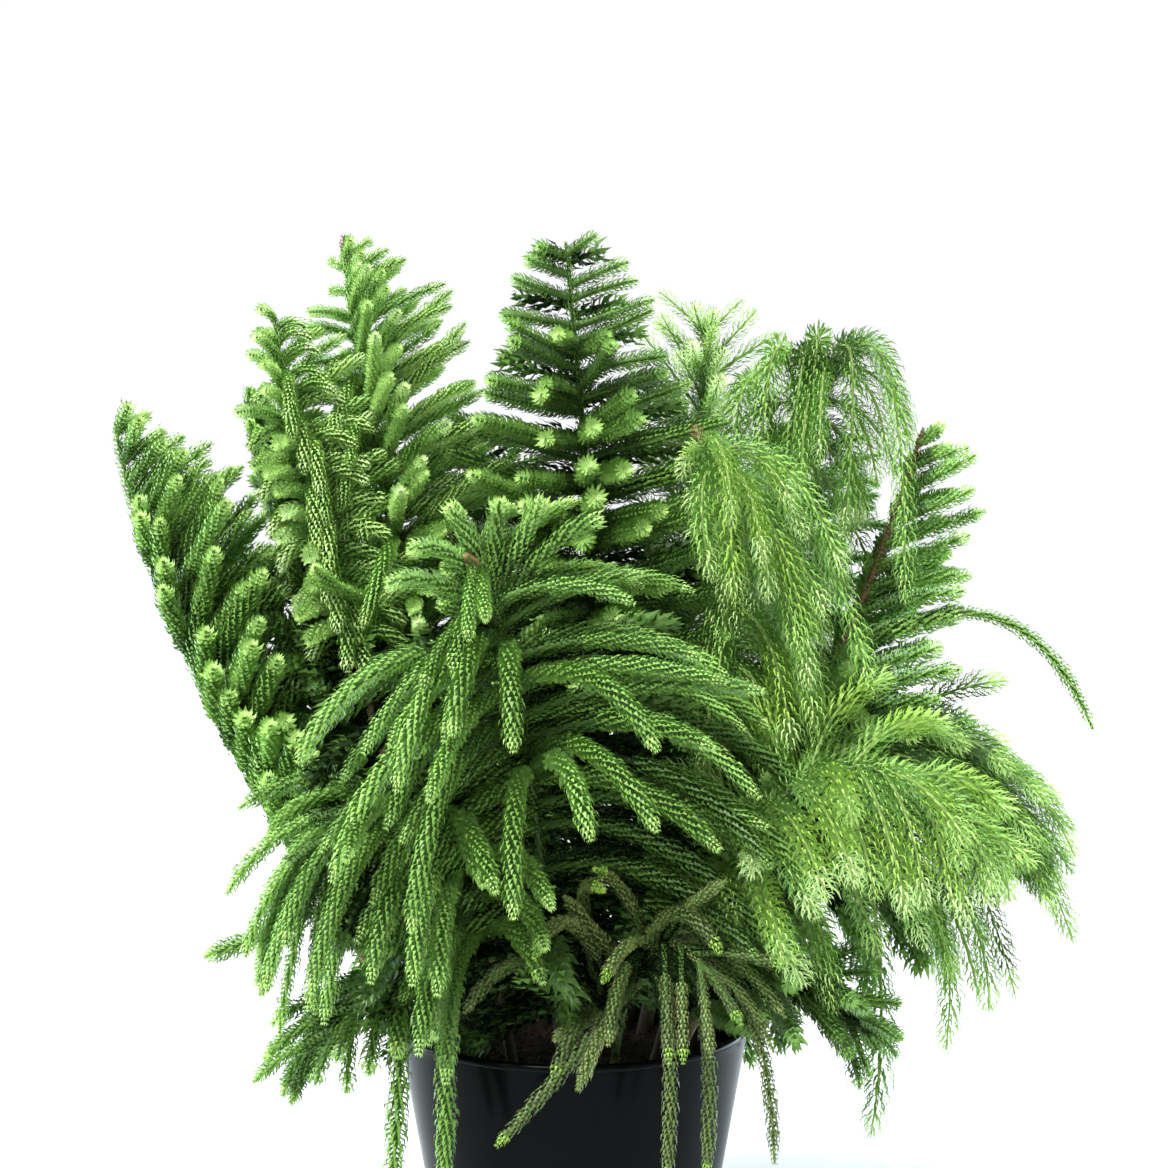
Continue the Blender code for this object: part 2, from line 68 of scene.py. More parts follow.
# Stage: the camera, the floor, where the light overhead stands, the brightness of the
# plain backdrop, and the low light at each side.
CAMERA_PLACE = (0.008, -1.338, 0.586)
CAMERA_LENS = 55.0
CAMERA_SENSOR = 36.0
FLOOR_REACH = 9.0
FLOOR_SHADE = 0.98
SUN_FROM = (-0.50, -0.62, 1.0)
SEEN_WHITE = 1.05
SKY_COLOUR = (0.97, 0.985, 1.0)
SIDE_LIGHT_SIZE = (1.2, 0.6)
SIDE_LIGHT_PLACE = (1.2, 0.50, 0.25)
SIDE_LIGHT_COLOUR = (0.72, 0.90, 1.0)

# Limbs: where they start in the fill, how they taper, the lower share of each bare limb whose
# bark is darkened as painted shade deep in the bunch and by how much, and the scars on their
# bark.
LIMB_FOOT = 0.185
CURVE_STEPS = 96
LIMB_END_SHARE = 0.60
LEADER_TIP_RADIUS = 0.0011
LIMB_RING_GAP = 0.0040
LIMB_SIDES = 12
SHADED_BARK_SHARE = 0.75
SHADED_BARK_TONE = 0.35
BARK_GRAIN = 260.0
SCAR_RISE = 0.0095
SCAR_COLUMNS = 3.0
SCAR_DEPTH = 0.6
BARK_UNEVENNESS = 0.25

# Side shoots: points along each, and how much they differ from one another.
SHOOT_STEPS = 9
STRAND_STEPS = 24
LEADER_STEP = 0.012
SIZE_RANGE = (0.84, 1.06)
ANGLE_RANGE = 6.0
LIFT_RANGE = 12.0
PLACE_RANGE = (0.2, 0.8)
TOP_PLACE = 0.985
WANDER = 0.25
FARTHEST_ANGLE = 1.2
SHORTEST_SHOOT = 0.016
LOWEST_SHOOT = POT_HIGH[2] + 0.020
TWIG_SIDES = 4
TWIG_TAPER = 0.65

# Girth: the size of the needles on hidden, young and dry shoots, at a shoot's foot and tip,
# and on a bud.
INNER_GIRTH = 1.35
YOUNG_GIRTH = 0.70
YOUNG_RISE = 1.8
DRY_LEADER_SIZE = 0.55
FOOT_SIZE = 0.75
FOOT_RISE = 1.5
ROUND_SHARE = 0.18
END_SIZE = 0.38
BUD_LENGTH = 0.014
BUD_SIZES = (0.5, 0.6, 0.5, 0.35)

DOWN = Vector((0.0, 0.0, -1.0))
UP = -DOWN

# Tones of the needles, in the order of the shade numbers that the shoots carry, the names
# of a shoot's three tones, and the share of a shoot, from its foot, that takes the first of
# them. That inner tone is mostly the darker one: partly older needles' own colour, partly
# painted shade deep in the spray.
TONE_NAMES = ("inner_tone", "tone", "tip_tone")
INNER_SHARE = 0.38
TONES = ("deep", "dark", "mid", "fresh", "light", "pale", "yellow", "olive", "dull", "dry")

# Each palette deals tones to its sprays: the inner needles, the grown ones, the young tip.
# Deep, back and shaded deal darker tones as painted shade, to shoots hidden in the bunch, at
# the back and underneath, and low at the front and the rim; sunlit deals lighter ones as
# painted light, to the boughs at the upper left.
PALETTES = {
    "deep": (("deep", "deep"), ("deep", "dark", "dark"), ("mid", "dark")),
    "back": (("dark", "deep"), ("dark", "mid", "dark"), ("mid", "fresh")),
    "green": (("dark", "dark"), ("mid", "mid", "dark"), ("light", "fresh")),
    "leaf": (("dark", "mid"), ("fresh", "mid", "mid"), ("light", "light")),
    "shaded": (("deep", "dark"), ("dark", "mid", "dark"), ("mid", "fresh")),
    "soft": (("dark", "mid"), ("fresh", "mid", "fresh"), ("light", "pale")),
    "sunlit": (("fresh", "fresh"), ("fresh", "light", "light"), ("pale", "light")),
    "bright": (("mid", "fresh"), ("yellow", "fresh", "yellow"), ("pale", "light")),
    "olive": (("deep", "olive"), ("olive", "olive", "dull"), ("dull", "yellow")),
}

# Rows in these shades, the palettes of painted shade deep in the bunch and at the back, are
# hidden by others, so their needles are plainer.
HIDDEN_SHADES = ("deep", "back")


@dataclass(frozen=True)
class Row:
    """A row of side shoots. Turn is the angle round the limb from its upper face, droop how
    far a shoot bends down along its length, size a share of the bough's longest shoot, and
    span the shares of the needled part where the row starts and ends. Gap is the distance
    from shoot to shoot, and curl how far they bend to one side. Shade names a palette if it
    isn't the bough's own."""

    turn: float
    droop: float = 0.4
    size: float = 0.7
    span: tuple = (0.0, 1.0)
    gap: float = 0.018
    curl: float = 0.0
    shade: str = ""


@dataclass(frozen=True)
class Bough:
    """One bough. Its curve leaves the fill at foot, steers by knee and bend, and ends at
    tip. Above its lower, bare share it carries two rows of side shoots, which stand out to
    both sides of its upper face unless their row size is nought, and the further rows that
    it names. The longest shoots stand where peak says, as a share from the tip. Angles holds
    those of the shoots at the tip and at the foot, in degrees, and lift raises them towards
    the upper face. Leader is the tone of a stem whose own needles are dry, and girth the
    size of the needles beside their kind's."""

    name: str
    foot: tuple
    knee: tuple
    bend: tuple
    tip: tuple
    face: tuple
    kind: str
    palette: str
    slot: str
    bare: float = 0.45
    longest: float = 0.12
    angles: tuple = (50, 65)
    lift: float = 10
    droop: tuple = (0.5, 0.5)
    peak: float = 0.5
    tip_share: float = 0.4
    foot_share: float = 0.9
    limb_radius: float = 0.0050
    row_sizes: tuple = (1.0, 1.0)
    spacing: float = 0.016
    rows: tuple = ()
    strands: tuple = ()
    leader: str = ""
    bud: bool = False
    girth: float = 1.0


def pair(turn, *rest, **named_rest):
    """Two equal rows, to both sides of the limb's upper face."""
    return Row(turn, *rest, **named_rest), Row(-turn, *rest, **named_rest)


# Shoots low on the limbs, in the near-black deep palette as painted shade, which close and
# darken the heart of the bunch.
HEART = (
    *pair(90, 0.7, 0.8, (-0.66, 0.05), 0.027, shade="deep"),
    Row(0, 0.5, 0.6, (-0.60, 0.05), 0.030, shade="deep"),
    Row(180, 0.5, 0.8, (-0.50, 0.10), 0.034, shade="deep"),
)

# Shoots of the boughs at the back: long ones that hang behind the pot, in the darker back
# palette as painted shade, and short ones above.
CURTAIN = (
    *pair(130, 2.6, 1.7, (-0.40, 0.70), 0.022, shade="back"),
    *pair(40, 0.8, 0.8, (0.0, 1.0), 0.026),
)

# A strand is a long single shoot: the share of the bough where it leaves, the point that
# it bends towards, its tip, and its girth if it isn't the bough's own.
# Boughs and rows in the deep, back and shaded palettes carry painted shade, and those in the
# sunlit palette painted light.
BOUGHS = (
    Bough("left", (-0.062, -0.005), (-0.140, -0.010, 0.28), (-0.305, -0.010, 0.50),
          (-0.341, -0.010, 0.705), (1, -0.15, 0), "rope", "leaf", "needles_mid",
          bare=0.30, angles=(60, 75), lift=58, droop=(0, 0), peak=0.45, tip_share=0.18,
          foot_share=0.8, limb_radius=0.0060, spacing=0.0165, girth=1.05,
          rows=(Row(4, 0.0, 0.80, (0.0, 0.95), 0.018),
                Row(-66, -0.6, 0.60, (0.0, 0.80), 0.020),
                Row(70, 0.0, 0.9, (-0.1, 0.8), 0.020, shade="back"),
                Row(40, 0.0, 1.0, (-0.2, 0.45), 0.020, shade="back"))),
    Bough("upper_left", (-0.036, 0.030), (-0.090, 0.030, 0.42), (-0.160, 0.025, 0.68),
          (-0.174, 0.020, 0.842), (0.95, -0.35, 0), "rope", "sunlit", "needles_soft",
          bare=0.53, longest=0.095, angles=(55, 75), lift=48, droop=(0.2, 0.2),
          tip_share=0.22, limb_radius=0.0060, bud=True, girth=0.80, spacing=0.014,
          rows=(Row(5, 0.2, 1.15, (0.0, 0.97), 0.015), Row(-85, 2.4, 0.8, (0.0, 0.75), 0.015),
                Row(180, 0.3, 0.25, (0.2, 1.0), 0.022), Row(120, 0.3, 0.5, gap=0.026),
                Row(-120, 0.8, 0.7, (-0.1, 0.85), 0.018),
                *HEART),
          strands=((0.66, (-0.130, -0.050, 0.625), (-0.150, -0.060, 0.556)),
                   (0.60, (-0.165, -0.060, 0.570), (-0.182, -0.080, 0.598)))),
    Bough("inner_left", (-0.052, -0.024), (-0.110, -0.020, 0.38), (-0.200, -0.020, 0.62),
          (-0.222, -0.015, 0.785), (0.6, -0.8, 0), "rope", "sunlit", "needles_soft",
          bare=0.60, longest=0.060, angles=(40, 60), lift=40, droop=(1.8, 1.0), peak=0.45,
          tip_share=0.30, girth=0.82, spacing=0.014,
          rows=(Row(0, 4.0, 1.3, (0.0, 0.85), 0.017), Row(100, 0.8, 0.7, gap=0.024),
                Row(62, 0.6, 1.3, (0.0, 0.9), 0.020),
                Row(-100, 2.0, 0.7, (0.0, 0.8), 0.030),
                Row(170, 0.2, 1.6, (-0.5, 0.6), 0.020, shade="back"), *HEART)),
    Bough("outer_left", (-0.066, 0.028), (-0.120, 0.030, 0.36), (-0.220, 0.020, 0.58),
          (-0.246, 0.010, 0.718), (1, -0.3, 0), "rope", "green", "needles_mid",
          bare=0.48, longest=0.070, angles=(28, 42), lift=40, droop=(0.1, 0.0),
          tip_share=0.35, girth=0.85,
          rows=(Row(0, 0.1, 1.2, (-0.3, 1.0), 0.018), Row(90, 0.3, 0.9, (-0.3, 1.0), 0.024),
                Row(70, 0.3, 1.5, (-0.5, 0.7), 0.020, shade="back"),
                Row(-80, 0.6, 1.2, (-0.6, 0.4), 0.020, shade="deep"),
                Row(180, 0.3, 1.0, (-0.6, 0.5), 0.024, shade="back"))),
    Bough("centre", (0.008, 0.030), (0.022, 0.040, 0.42), (0.015, 0.040, 0.66),
          (-0.006, 0.035, 0.848), (0.05, -1, 0), "awl", "green", "needles_mid",
          bare=0.46, longest=0.130, angles=(74, 84), lift=30, droop=(0, 0), peak=0.72,
          tip_share=0.20, foot_share=0.8, limb_radius=0.0060,
          spacing=0.0180, girth=1.05,
          rows=(*pair(32, 0.0, 0.64, (0.02, 0.80), 0.026),
                Row(0, 0.0, 0.55, (0.0, 0.60), 0.026),
                *pair(100, 0.1, 0.8, gap=0.034, shade="deep"), *HEART)),
    Bough("back_right", (0.034, 0.062), (0.070, 0.100, 0.42), (0.105, 0.130, 0.66),
          (0.107, 0.120, 0.795), (0, -1, 0), "brush", "soft", "needles_soft",
          bare=0.48, longest=0.100, angles=(40, 60), droop=(0.2, 0.2), peak=0.4,
          tip_share=0.45, foot_share=0.8, spacing=0.020,
          rows=(Row(20, 0.3, 0.7, gap=0.024), Row(-40, 0.3, 0.7, gap=0.024),
                Row(180, 0.3, 0.6, gap=0.030), *HEART)),
    Bough("nodding", (0.055, 0.012), (0.105, -0.010, 0.42), (0.155, -0.030, 0.61),
          (0.090, -0.085, 0.690), (0.5, 0.0, 1.0), "brush", "bright", "needles_bright",
          bare=0.56, longest=0.130, angles=(60, 80), droop=(2.6, 2.6), peak=0.35,
          tip_share=0.8, row_sizes=(0.45, 1.0), spacing=0.022, bud=True,
          rows=(Row(-50, 2.2, 0.8, (0.1, 1.0), 0.030),),
          strands=((0.98, (0.105, -0.125, 0.680), (0.112, -0.110, 0.575)),
                   (0.97, (0.150, -0.110, 0.700), (0.190, -0.090, 0.592)),
                   (0.90, (0.175, -0.080, 0.670), (0.211, -0.080, 0.508)),
                   (0.95, (0.080, -0.125, 0.665), (0.095, -0.115, 0.590)),
                   (0.93, (0.140, -0.105, 0.660), (0.165, -0.105, 0.530)))),
    Bough("right", (0.074, 0.018), (0.120, 0.030, 0.36), (0.215, 0.030, 0.53),
          (0.268, 0.030, 0.705), (0.9, -0.4, 0), "rope", "soft", "needles_mid",
          bare=0.42, longest=0.100, angles=(50, 58), lift=30, droop=(0.1, 0), peak=0.6,
          tip_share=0.3, foot_share=1.0, limb_radius=0.0075, leader="dry",
          row_sizes=(1.0, 0.0), spacing=0.020,
          rows=(Row(10, 0.1, 1.0, (0.0, 0.92), 0.018), Row(110, 0.4, 0.9, (0.0, 0.9), 0.028),
                Row(-60, 0.6, 0.9, (-0.2, 0.40), 0.020), *HEART),
          strands=((0.66, (0.335, 0.010, 0.620), (0.388, -0.005, 0.478), 0.70),)),
    Bough("side_right", (0.072, -0.012), (0.120, 0.000, 0.40), (0.210, 0.000, 0.58),
          (0.340, -0.010, 0.400), (0.2, -0.3, 1), "brush", "green", "needles_soft",
          bare=0.46, angles=(30, 45), lift=5, droop=(0.9, 0.9), tip_share=0.5,
          foot_share=1.0, spacing=0.016,
          rows=(Row(40, 0.9, 0.8, gap=0.026), Row(-40, 0.9, 0.9, gap=0.022),
                Row(-130, 1.2, 0.9, gap=0.026, shade="back")),
          strands=((0.80, (0.335, -0.020, 0.430), (0.366, -0.030, 0.325)),
                   (0.75, (0.330, -0.020, 0.480), (0.368, -0.030, 0.386)),
                   (0.70, (0.300, -0.035, 0.460), (0.350, -0.045, 0.345)),
                   (0.66, (0.285, -0.045, 0.440), (0.318, -0.055, 0.290)))),
    Bough("bright", (0.046, -0.048), (0.090, -0.090, 0.40), (0.165, -0.120, 0.55),
          (0.285, -0.140, 0.400), (0, -0.4, 1), "brush", "bright", "needles_bright",
          bare=0.44, longest=0.115, angles=(50, 70), lift=5, droop=(1.2, 2.0),
          tip_share=0.3, spacing=0.021, girth=1.10,
          rows=(Row(50, 1.2, 0.8, gap=0.040), Row(-50, 1.4, 0.9, gap=0.030),
                Row(-120, 1.6, 0.9, gap=0.026, shade="back"))),
    Bough("low_right", (0.066, -0.032), (0.115, -0.035, 0.36), (0.195, -0.035, 0.46),
          (0.265, -0.035, 0.365), (0, 0, 1), "brush", "soft", "needles_soft",
          bare=0.40, longest=0.130, angles=(45, 60), lift=5, droop=(2.0, 2.0),
          tip_share=0.7, spacing=0.021, girth=1.05,
          rows=(Row(-45, 1.8, 0.9, gap=0.028),
                Row(-130, 1.6, 0.9, (-0.2, 1.0), 0.034, shade="back")),
          strands=((0.80, (0.230, -0.070, 0.300), (0.212, -0.070, 0.195)),
                   (0.90, (0.280, -0.060, 0.350), (0.265, -0.070, 0.255)),
                   (0.95, (0.300, -0.050, 0.360), (0.298, -0.060, 0.280)))),
    Bough("front", (0.000, -0.058), (-0.020, -0.095, 0.38), (-0.035, -0.125, 0.56),
          (-0.065, -0.175, 0.600), (0, -0.7, 0.7), "rope", "leaf", "needles_mid",
          bare=0.40, longest=0.205, angles=(62, 78), lift=12, droop=(1.4, 1.4), peak=0.55,
          tip_share=0.35, foot_share=0.8, limb_radius=0.0060, bud=True, spacing=0.0165,
          row_sizes=(0.0, 0.84), girth=0.92,
          rows=(Row(78, 1.4, 1.0, (0.52, 1.0), 0.0165),
                # The lower part of this row is in the shaded palette: painted shade under the
                # crown.
                Row(78, 1.4, 1.0, (0.0, 0.52), 0.0165, shade="shaded"),
                Row(55, 0.8, 0.85, (0.25, 1.0), 0.021), Row(-55, 1.2, 0.72, (0.25, 1.0), 0.021),
                *pair(110, 1.0, 0.8, (-0.4, 0.8), 0.024, shade="deep"),
                Row(180, 0.2, 0.3, (0.5, 1.0), 0.024),
                *pair(150, 0.2, 0.4, (0.5, 1.0), 0.026), *HEART),
          strands=((0.78, (0.020, -0.215, 0.550), (0.053, -0.225, 0.483)),
                   (0.66, (0.015, -0.205, 0.505), (0.053, -0.220, 0.432)),
                   (0.62, (-0.005, -0.200, 0.500), (0.012, -0.215, 0.426)),
                   (0.62, (-0.040, -0.195, 0.480), (-0.036, -0.220, 0.378)),
                   (0.70, (-0.085, -0.205, 0.510), (-0.100, -0.220, 0.369)),
                   (0.82, (-0.040, -0.220, 0.570), (-0.036, -0.225, 0.483)),
                   (0.84, (-0.065, -0.215, 0.570), (-0.074, -0.225, 0.493)),
                   (0.80, (-0.090, -0.205, 0.570), (-0.109, -0.220, 0.458)),
                   (0.78, (-0.120, -0.185, 0.575), (-0.173, -0.205, 0.474)),
                   (0.72, (-0.110, -0.195, 0.530), (-0.150, -0.215, 0.400)),
                   (0.88, (-0.090, -0.185, 0.600), (-0.117, -0.195, 0.586)),
                   (0.90, (-0.075, -0.180, 0.620), (-0.104, -0.190, 0.608)),
                   (0.90, (-0.010, -0.165, 0.625), (0.019, -0.170, 0.628)),
                   (0.92, (-0.030, -0.165, 0.625), (-0.018, -0.170, 0.640)),
                   (0.93, (-0.050, -0.165, 0.620), (-0.047, -0.175, 0.640)),
                   (0.95, (-0.066, -0.165, 0.620), (-0.080, -0.175, 0.636)))),
    Bough("low_left", (-0.034, -0.052), (-0.060, -0.090, 0.38), (-0.095, -0.120, 0.48),
          (-0.170, -0.140, 0.400), (0, -0.3, 1), "rope", "leaf", "needles_mid",
          bare=0.44, longest=0.158, angles=(30, 50), lift=5, droop=(2.2, 2.2),
          tip_share=0.8, spacing=0.018, girth=0.92,
          rows=(Row(40, 1.8, 0.8, gap=0.022), Row(-40, 1.8, 0.85, gap=0.020),
                *pair(130, 1.2, 0.8, (-0.3, 0.8), 0.024, shade="deep")),
          strands=((0.70, (-0.200, -0.110, 0.345), (-0.252, -0.110, 0.330)),)),
    Bough("olive", (0.024, -0.074), (0.030, -0.100, 0.31), (0.050, -0.130, 0.38),
          (0.090, -0.165, 0.330), (0, -0.3, 1), "thin", "olive", "needles_olive",
          bare=0.30, longest=0.110, angles=(40, 70), lift=5, droop=(1.4, 1.4),
          tip_share=0.6, limb_radius=0.0045, spacing=0.020,
          rows=(*pair(40, 0.8, 0.8, gap=0.026, curl=1.6),
                *pair(90, 0.0, 0.8, (-0.5, 0.2), 0.018, shade="deep"),
                Row(20, 0.0, 0.8, (-0.5, 0.3), 0.020, shade="deep")),
          strands=((0.45, (0.000, -0.150, 0.400), (-0.024, -0.185, 0.345)),
                   (0.50, (0.060, -0.170, 0.410), (0.095, -0.190, 0.350)),
                   (0.40, (-0.030, -0.130, 0.370), (-0.070, -0.165, 0.305)),
                   (0.60, (0.035, -0.165, 0.310), (-0.048, -0.180, 0.222)),
                   (0.62, (0.072, -0.165, 0.350), (0.062, -0.178, 0.199)),
                   (0.75, (0.100, -0.165, 0.350), (0.088, -0.172, 0.199)),
                   (0.80, (0.132, -0.140, 0.345), (0.134, -0.158, 0.204)),
                   (0.42, (0.010, -0.150, 0.320), (-0.012, -0.170, 0.262)),
                   (0.38, (-0.010, -0.120, 0.400), (0.020, -0.165, 0.385)))),
    Bough("rim_right", (0.058, -0.058), (0.080, -0.070, 0.31), (0.130, -0.090, 0.34),
          (0.205, -0.100, 0.275), (0, -0.2, 1), "awl", "shaded", "needles_dark",
          bare=0.40, longest=0.075, angles=(40, 55), lift=5, droop=(0.8, 0.8),
          limb_radius=0.0045, rows=pair(45, 0.5, 0.9, gap=0.020)),
    Bough("rim_left", (-0.056, -0.042), (-0.076, -0.070, 0.31), (-0.110, -0.105, 0.35),
          (-0.165, -0.120, 0.270), (0, -0.2, 1), "rope", "green", "needles_mid",
          bare=0.40, longest=0.120, angles=(40, 55), lift=5, droop=(1.4, 1.4),
          tip_share=0.6, limb_radius=0.0045, spacing=0.019, row_sizes=(1.0, 0.6),
          rows=(Row(45, 1.0, 0.8, gap=0.024), Row(-45, 1.0, 0.5, gap=0.028),
                Row(0, 0.3, 0.5, (-0.6, 0.0), 0.022, shade="deep")),
          strands=((0.75, (-0.110, -0.140, 0.310), (-0.120, -0.150, 0.185)),
                   (0.65, (-0.080, -0.140, 0.310), (-0.085, -0.155, 0.190)))),
    Bough("back_left", (-0.044, 0.060), (-0.080, 0.120, 0.42), (-0.130, 0.180, 0.54),
          (-0.190, 0.230, 0.560), (0, 0, 1), "coarse", "green", "needles_dark",
          bare=0.40, angles=(50, 70), lift=15, droop=(0.8, 0.8), peak=0.6,
          tip_share=0.3, foot_share=0.8,
          rows=(Row(-75, 0.2, 1.0, (0.0, 1.0), 0.018, shade="back"), *CURTAIN)),
    Bough("back", (0.000, 0.074), (0.005, 0.130, 0.42), (0.010, 0.200, 0.56),
          (0.005, 0.280, 0.600), (0, 0, 1), "coarse", "green", "needles_dark",
          bare=0.40, longest=0.120, angles=(50, 70), lift=15, droop=(0.8, 0.8), peak=0.6,
          tip_share=0.3, foot_share=0.8, rows=CURTAIN),
    Bough("back_side", (0.058, 0.050), (0.110, 0.110, 0.40), (0.170, 0.170, 0.52),
          (0.240, 0.210, 0.500), (0, 0, 1), "coarse", "green", "needles_dark",
          bare=0.40, angles=(50, 70), droop=(1.6, 1.6), peak=0.6, foot_share=0.8,
          rows=CURTAIN),
    Bough("inner_back", (-0.020, 0.052), (-0.040, 0.100, 0.40), (-0.070, 0.140, 0.58),
          (-0.075, 0.130, 0.715), (0.3, -1, 0), "coarse", "deep", "needles_dark",
          bare=0.50, longest=0.100, angles=(55, 75), droop=(0.3, 0.3), tip_share=0.3,
          rows=(*pair(30, 0.3, 0.8, gap=0.024),
                Row(180, 0.4, 0.8, gap=0.026, shade="green"), *HEART)),
    Bough("outer_back", (0.062, 0.036), (0.110, 0.080, 0.40), (0.180, 0.130, 0.56),
          (0.205, 0.135, 0.700), (-0.4, -0.6, 0.3), "coarse", "green", "needles_dark",
          bare=0.48, longest=0.100, angles=(50, 70), droop=(0.8, 0.8), tip_share=0.4,
          rows=(*pair(30, 0.6, 0.8, gap=0.024),
                Row(180, 0.6, 0.8, gap=0.026), *HEART)),
    Bough("weeping", (0.044, 0.036), (0.090, 0.060, 0.44), (0.160, 0.065, 0.66),
          (0.205, 0.030, 0.760), (0.1, -1, 0.2), "brush", "soft", "needles_soft",
          bare=0.56, longest=0.175, angles=(50, 70), lift=50, droop=(3.2, 3.2),
          peak=0.35, tip_share=0.75, limb_radius=0.0060, spacing=0.021, girth=1.05,
          row_sizes=(0.62, 1.0),
          rows=(Row(100, 2.6, 0.6, gap=0.030, shade="green"),
                Row(-100, 2.6, 0.5, (0.3, 1.0), 0.030, shade="green")),
          strands=((0.90, (0.192, -0.005, 0.880), (0.165, -0.025, 0.600)),
                   (0.95, (0.250, 0.000, 0.850), (0.246, -0.015, 0.575)),
                   (0.88, (0.150, 0.000, 0.850), (0.138, -0.010, 0.660)),
                   (0.92, (0.222, -0.005, 0.850), (0.200, -0.025, 0.625)),
                   (0.82, (0.128, 0.020, 0.820), (0.118, 0.000, 0.660)),
                   (0.97, (0.235, 0.070, 0.830), (0.266, 0.070, 0.690)),
                   (0.90, (0.176, -0.015, 0.850), (0.152, -0.035, 0.600)))),
)


@dataclass(frozen=True)
class NeedleKind:
    """A kind of needle, by the curve that it follows beside its shoot: the points (out,
    along) of its bends and its tip. The rest is its width, how many make a row, the gap
    between rows, the twig's radius and the length of the young tip."""

    curve: tuple
    width: float
    count: int
    row_gap: float
    twig_radius: float
    young: float


KINDS = {
    "rope": NeedleKind(((0.0076, 0.0028), (0.0086, 0.0072)), 0.0027, 10, 0.0033, 0.0038,
                       0.012),
    "thin": NeedleKind(((0.0050, 0.0016), (0.0056, 0.0052)), 0.0021, 9, 0.0030, 0.0028,
                       0.012),
    "awl": NeedleKind(((0.0076, 0.0028), (0.0092, 0.0070)), 0.0021, 13, 0.0036, 0.0036,
                      0.009),
    "brush": NeedleKind(((0.0072, 0.0012), (0.0106, 0.0040), (0.0108, 0.0094)), 0.0017, 8,
                        0.0035, 0.0019, 0.022),
    "coarse": NeedleKind(((0.0062, 0.0020), (0.0086, 0.0074)), 0.0034, 7, 0.0044, 0.0038,
                         0.014),
    "hidden": NeedleKind(((0.0064, 0.0022), (0.0088, 0.0084)), 0.0034, 7, 0.0060, 0.0040,
                         0.014),
}

# Rows of needles: uneven ones to choose from, where a needle starts beside the shoot's
# middle, its width at its foot and second bend, and how needles of a row differ.
WHORL_VARIANTS = 3
NEEDLE_START = 0.0006
FOOT_WIDTH = 0.6
SECOND_WIDTH = 0.7
RING_SPREAD = 0.35
RING_UNEVENNESS = 0.15
NEEDLE_SIZES = (0.84, 1.10)
LEAN_RANGE = (0.90, 1.08)
# Gloss of the needles, and a lower one for the deep tone, which is painted shade.
NEEDLE_SHINE = 0.35
DEEP_SHINE = 0.08

# Pot: the radii of the rim's bead and of the foot's edge, how far the neck lies below the
# rim, where the straight side starts, how far it stands out at the neck, the width of the
# ring that it stands on, the hollow inside that ring, how much lighter its mottles are, its
# gloss, and the angle from which an edge of a turned piece stays sharp.
POT_BEAD = 0.0030
POT_EDGE = 0.0040
POT_NECK = 0.012
POT_SIDE_START = 0.030
POT_NECK_STEP = 0.0002
FOOT_RING = 0.012
FOOT_STEP = (0.014, 0.0015)
POT_LIGHTER = 1.7
POT_SHINE = 0.06
SHARP_ANGLE = 35.0

# Fill: how many walls its foot lies inside the pot's, rings on its top and steps round it,
# how far the top sinks at the pot's wall, how deep its lumps reach, their height, the size
# and shapes of its crumbs, their turns, and how level the ground under a crumb is.
FILL_INSET = 2.5
FILL_RINGS = 14
FILL_STEPS = 64
FILL_SINK = 0.010
FILL_TOP = 0.012
FILL_LUMPS = (-0.0022, 0.0012)
CRUMB_SIZE = 0.0030
CRUMB_SHAPES = ((0.35, 0.35, 0.25), (1.25, 0.9, 0.7))
FULL_TURN = (6.28, 6.28, 6.28)
UPWARD = 0.6

# Noise and relief in the mottled finishes.
NOISE_DETAIL = 5.0
NOISE_ROUGHNESS = 0.6
BUMP_STRENGTH = 0.6


class PineSizes(bpy.types.PropertyGroup):
    """The sizes that a user would change."""

    needle_scale: FloatProperty(
        name="Needle scale", description="Size of the needles beside the kind's own size",
        default=1.0, min=0.5, max=2.0)
    needle_jitter: FloatProperty(
        name="Needle unevenness", description="How much the size differs from row to row",
        default=0.12, min=0.0, max=0.5)
    turn: FloatProperty(
        name="Turn of each row", description="How far each row of needles turns on the last",
        default=math.radians(27.0), subtype="ANGLE", unit="ROTATION")
    seed: IntProperty(
        name="Seed", description="Start of the random numbers", default=7)
    bark_relief: FloatProperty(
        name="Bark relief", description="Depth of the scars as a share of a limb's radius",
        default=0.16, min=0.0, max=0.5)
    pot_foot_radius: FloatProperty(
        name="Pot foot radius", description="Outer radius of the pot's flat foot",
        default=0.083, unit="LENGTH")
    pot_wall: FloatProperty(
        name="Pot wall", description="Thickness of the pot's wall",
        default=0.003, unit="LENGTH")
    pot_steps: IntProperty(
        name="Pot steps", description="Steps round the pot", default=96, min=12)
    crumbs: FloatProperty(
        name="Crumbs", description="Crumbs on the fill for each square metre",
        default=24000.0, min=0.0)


def colour(name, note, value):
    """A colour that a user may change."""
    return FloatVectorProperty(
        name=name, description=note, default=value, subtype="COLOR", size=3, min=0.0, max=1.0)


